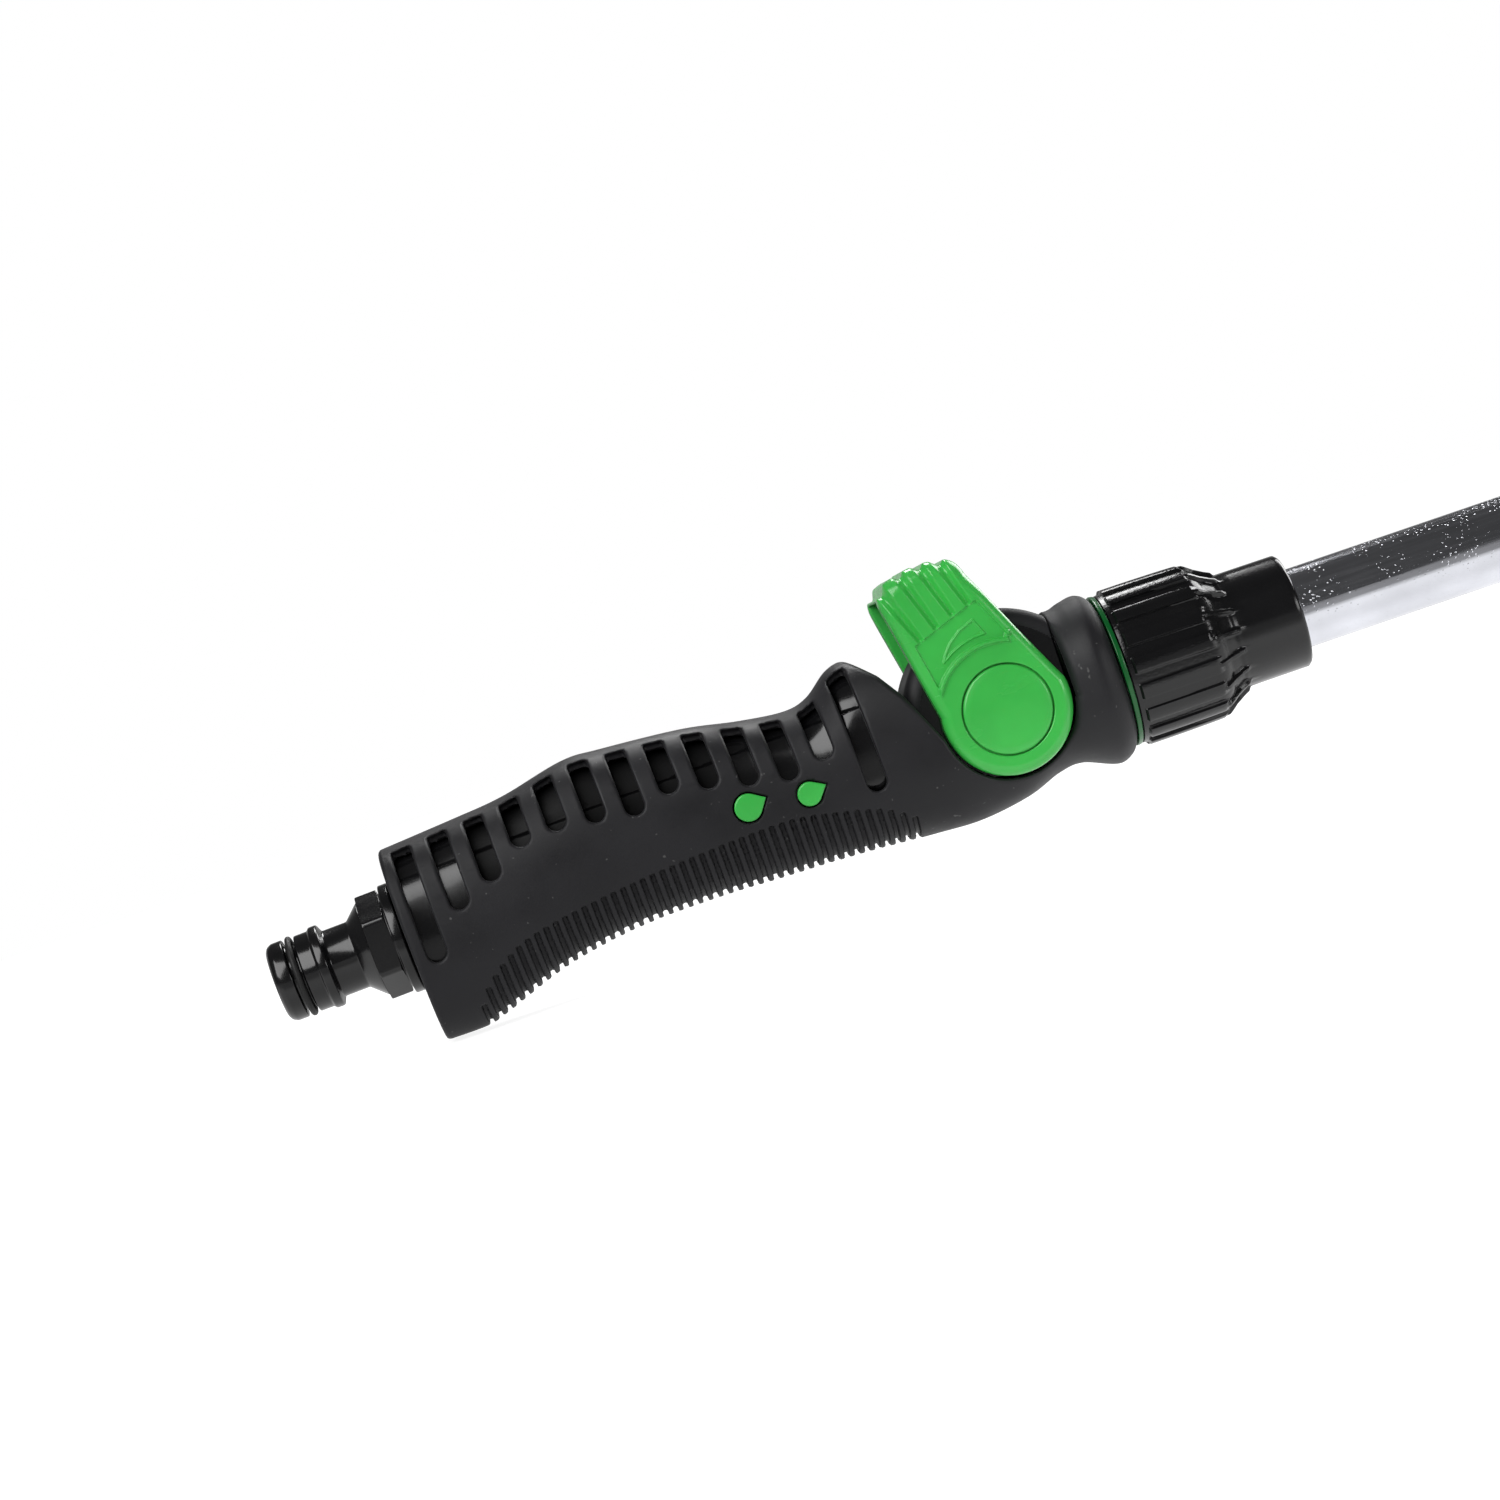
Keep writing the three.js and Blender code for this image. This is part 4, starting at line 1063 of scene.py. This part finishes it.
def dress_cad_nodes():
    """Gives every CAD node the finish of its material slot, for those that still show."""
    slot_of = {part["node"]: part["material_slot"] for part in frame["record"]["subparts"]}
    for name, cad in frame["nodes"].items():
        cad.data.materials.clear()
        cad.data.materials.append(MATERIALS[slot_of[name]])


# ---- Stage, light and camera ---------------------------------------------------------------------

PHOTO_TILT = math.radians(18.8)
PHOTO_YAW = math.radians(2.5)
PHOTO_CENTRE = (-48.5, 0, 8.3)  # in millimetres from the pivot
CAMERA_DISTANCE = 0.77  # in metres
CAMERA_VIEW = math.radians(21.4)
ROOM_LIGHT = 0.08
BACKDROP_LIGHT = 0.6
FLOOR_SEEN = (0.86, 1.0)  # its glow to the eye, near the wand and far from it
FLOOR_BOUNCE = 0.86  # its glow as light, near the wand
BOUNCE_UNDER_GRIP = 0.55  # the share of it that is left under the grip
BOUNCE_GROWS = (-60, 24)  # and where it grows to the whole, in millimetres from the pivot


def make_camera():
    """Level with the wand, rolled so that the wand climbs to the right, and turned slightly forward."""
    image_right = Vector((math.cos(PHOTO_TILT), 0, -math.sin(PHOTO_TILT)))
    image_up = Vector((math.sin(PHOTO_TILT), 0, math.cos(PHOTO_TILT)))
    ahead = Vector((0, 1, 0))
    forward = ahead * math.cos(PHOTO_YAW) + image_right * math.sin(PHOTO_YAW)
    right = image_right * math.cos(PHOTO_YAW) - ahead * math.sin(PHOTO_YAW)
    camera = bpy.data.objects.new("camera", bpy.data.cameras.new("camera"))
    bpy.context.scene.collection.objects.link(camera)
    camera.data.angle = CAMERA_VIEW
    camera.data.clip_start = 0.01
    place = Matrix((right, image_up, -forward)).transposed().to_4x4()
    place.translation = Vector(in_frame(PHOTO_CENTRE)) - forward * CAMERA_DISTANCE
    camera.matrix_world = place
    bpy.context.scene.camera = camera


def make_floor():
    """A wide pale floor. It glows to the eye, and as light only in a strip along the wand."""
    material = new_material("floor", (0.3, 0.3, 0.3), 0.9)
    shader = material.node_tree.nodes["Principled BSDF"]
    shader.inputs["Emission Color"].default_value = (1, 1, 1, 1)
    vary_roughness(material, noise(material, 30), 0.85, 0.95)
    place, split = object_place(material)
    beside = node(material, "ShaderNodeMath", operation="ABSOLUTE")
    wire(material, split["Y"], beside.inputs[0])
    away = node(material, "ShaderNodeVectorMath", operation="LENGTH")
    wire(material, place, away.inputs[0])
    seen = ramp(material, away.outputs["Value"], *FLOOR_SEEN, at=(0.3, 0.9))
    strip = ramp(material, beside.outputs["Value"], FLOOR_BOUNCE, 0, at=(0.05, 0.08))
    grows = in_frame([(x, 0, 0) for x in BOUNCE_GROWS])[:, 0]
    forward = ramp(material, split["X"], BOUNCE_UNDER_GRIP, 1, at=grows)
    eye = node(material, "ShaderNodeLightPath")
    choose = node(material, "ShaderNodeMix")
    wire(material, eye.outputs["Is Camera Ray"], choose.inputs["Factor"])
    wire(material, multiply(material, strip, forward), choose.inputs["A"])
    wire(material, seen, choose.inputs["B"])
    wire(material, choose.outputs["Result"], shader.inputs["Emission Strength"])
    mesh = bpy.data.meshes.new("floor")
    around = np.linspace(0, 2 * math.pi, 64, endpoint=False)
    mesh.from_pydata([(12 * math.cos(a), 12 * math.sin(a), -0.0004) for a in around], [], [range(64)])
    mesh.materials.append(material)
    floor = bpy.data.objects.new("floor", mesh)
    bpy.context.scene.collection.objects.link(floor)


def add_softbox(name, place, aim, width, height, power):
    """A rectangular lamp at place that points at aim, in metres and watts."""
    light = bpy.data.lights.new(name, "AREA")
    light.shape = "RECTANGLE"
    light.size, light.size_y = width, height
    light.energy = power
    lamp = bpy.data.objects.new(name, light)
    lamp.location = place
    lamp.rotation_euler = (Vector(aim) - Vector(place)).to_track_quat("-Z", "Y").to_euler()
    bpy.context.scene.collection.objects.link(lamp)


def make_lights():
    """Four soft lamps round the handle."""
    handle = tuple(in_frame((-40, 0, 0)))
    add_softbox("key", (-0.76, -0.75, 0.75), handle, 1.0, 1.0, 13)
    add_softbox("behind", (-0.11, 0.55, 0.8), handle, 0.3, 0.35, 3.5)
    add_softbox("side", (0.55, 0.6, 0.5), handle, 0.6, 0.6, 6)
    add_softbox("low", (0.4, -0.5, 0.12), handle, 0.3, 0.2, 0.9)


def make_world():
    """White to the eye; as light, a white backdrop behind the wand in a dim room."""
    world = bpy.data.worlds.new("studio")
    world.use_nodes = True
    bpy.context.scene.world = world
    nodes, links = world.node_tree.nodes, world.node_tree.links
    place = nodes.new("ShaderNodeTexCoord")
    split = nodes.new("ShaderNodeSeparateXYZ")
    links.new(place.outputs["Generated"], split.inputs["Vector"])

    def fade(axis, start, end):
        """From 0 to 1 as the looking direction's axis goes from start to end."""
        mapped = nodes.new("ShaderNodeMapRange")
        mapped.interpolation_type = "SMOOTHSTEP"
        mapped.inputs["From Min"].default_value = start
        mapped.inputs["From Max"].default_value = end
        links.new(split.outputs[axis], mapped.inputs["Value"])
        return mapped.outputs["Result"]

    both_fades = nodes.new("ShaderNodeMath")
    both_fades.operation = "MULTIPLY"
    links.new(fade("Y", 0.1, 0.85), both_fades.inputs[0])
    links.new(fade("Z", 0.5, 0.1), both_fades.inputs[1])
    strength = nodes.new("ShaderNodeMapRange")
    strength.inputs["To Min"].default_value = ROOM_LIGHT
    strength.inputs["To Max"].default_value = BACKDROP_LIGHT
    links.new(both_fades.outputs["Value"], strength.inputs["Value"])
    lit = nodes.new("ShaderNodeBackground")
    links.new(strength.outputs["Result"], lit.inputs["Strength"])
    backdrop = nodes["Background"]
    backdrop.inputs["Color"].default_value = (1, 1, 1, 1)
    seen = nodes.new("ShaderNodeLightPath")
    choose = nodes.new("ShaderNodeMixShader")
    links.new(seen.outputs["Is Camera Ray"], choose.inputs["Fac"])
    links.new(lit.outputs["Background"], choose.inputs[1])
    links.new(backdrop.outputs["Background"], choose.inputs[2])
    links.new(choose.outputs["Shader"], nodes["World Output"].inputs["Surface"])
    bpy.context.scene.view_settings.view_transform = "Standard"


make_camera()
make_floor()
make_lights()
make_world()
make_grip()
make_drops()
make_connector()
make_trim()
make_lever()
make_nut()
make_tube()
make_rose()
dress_cad_nodes()
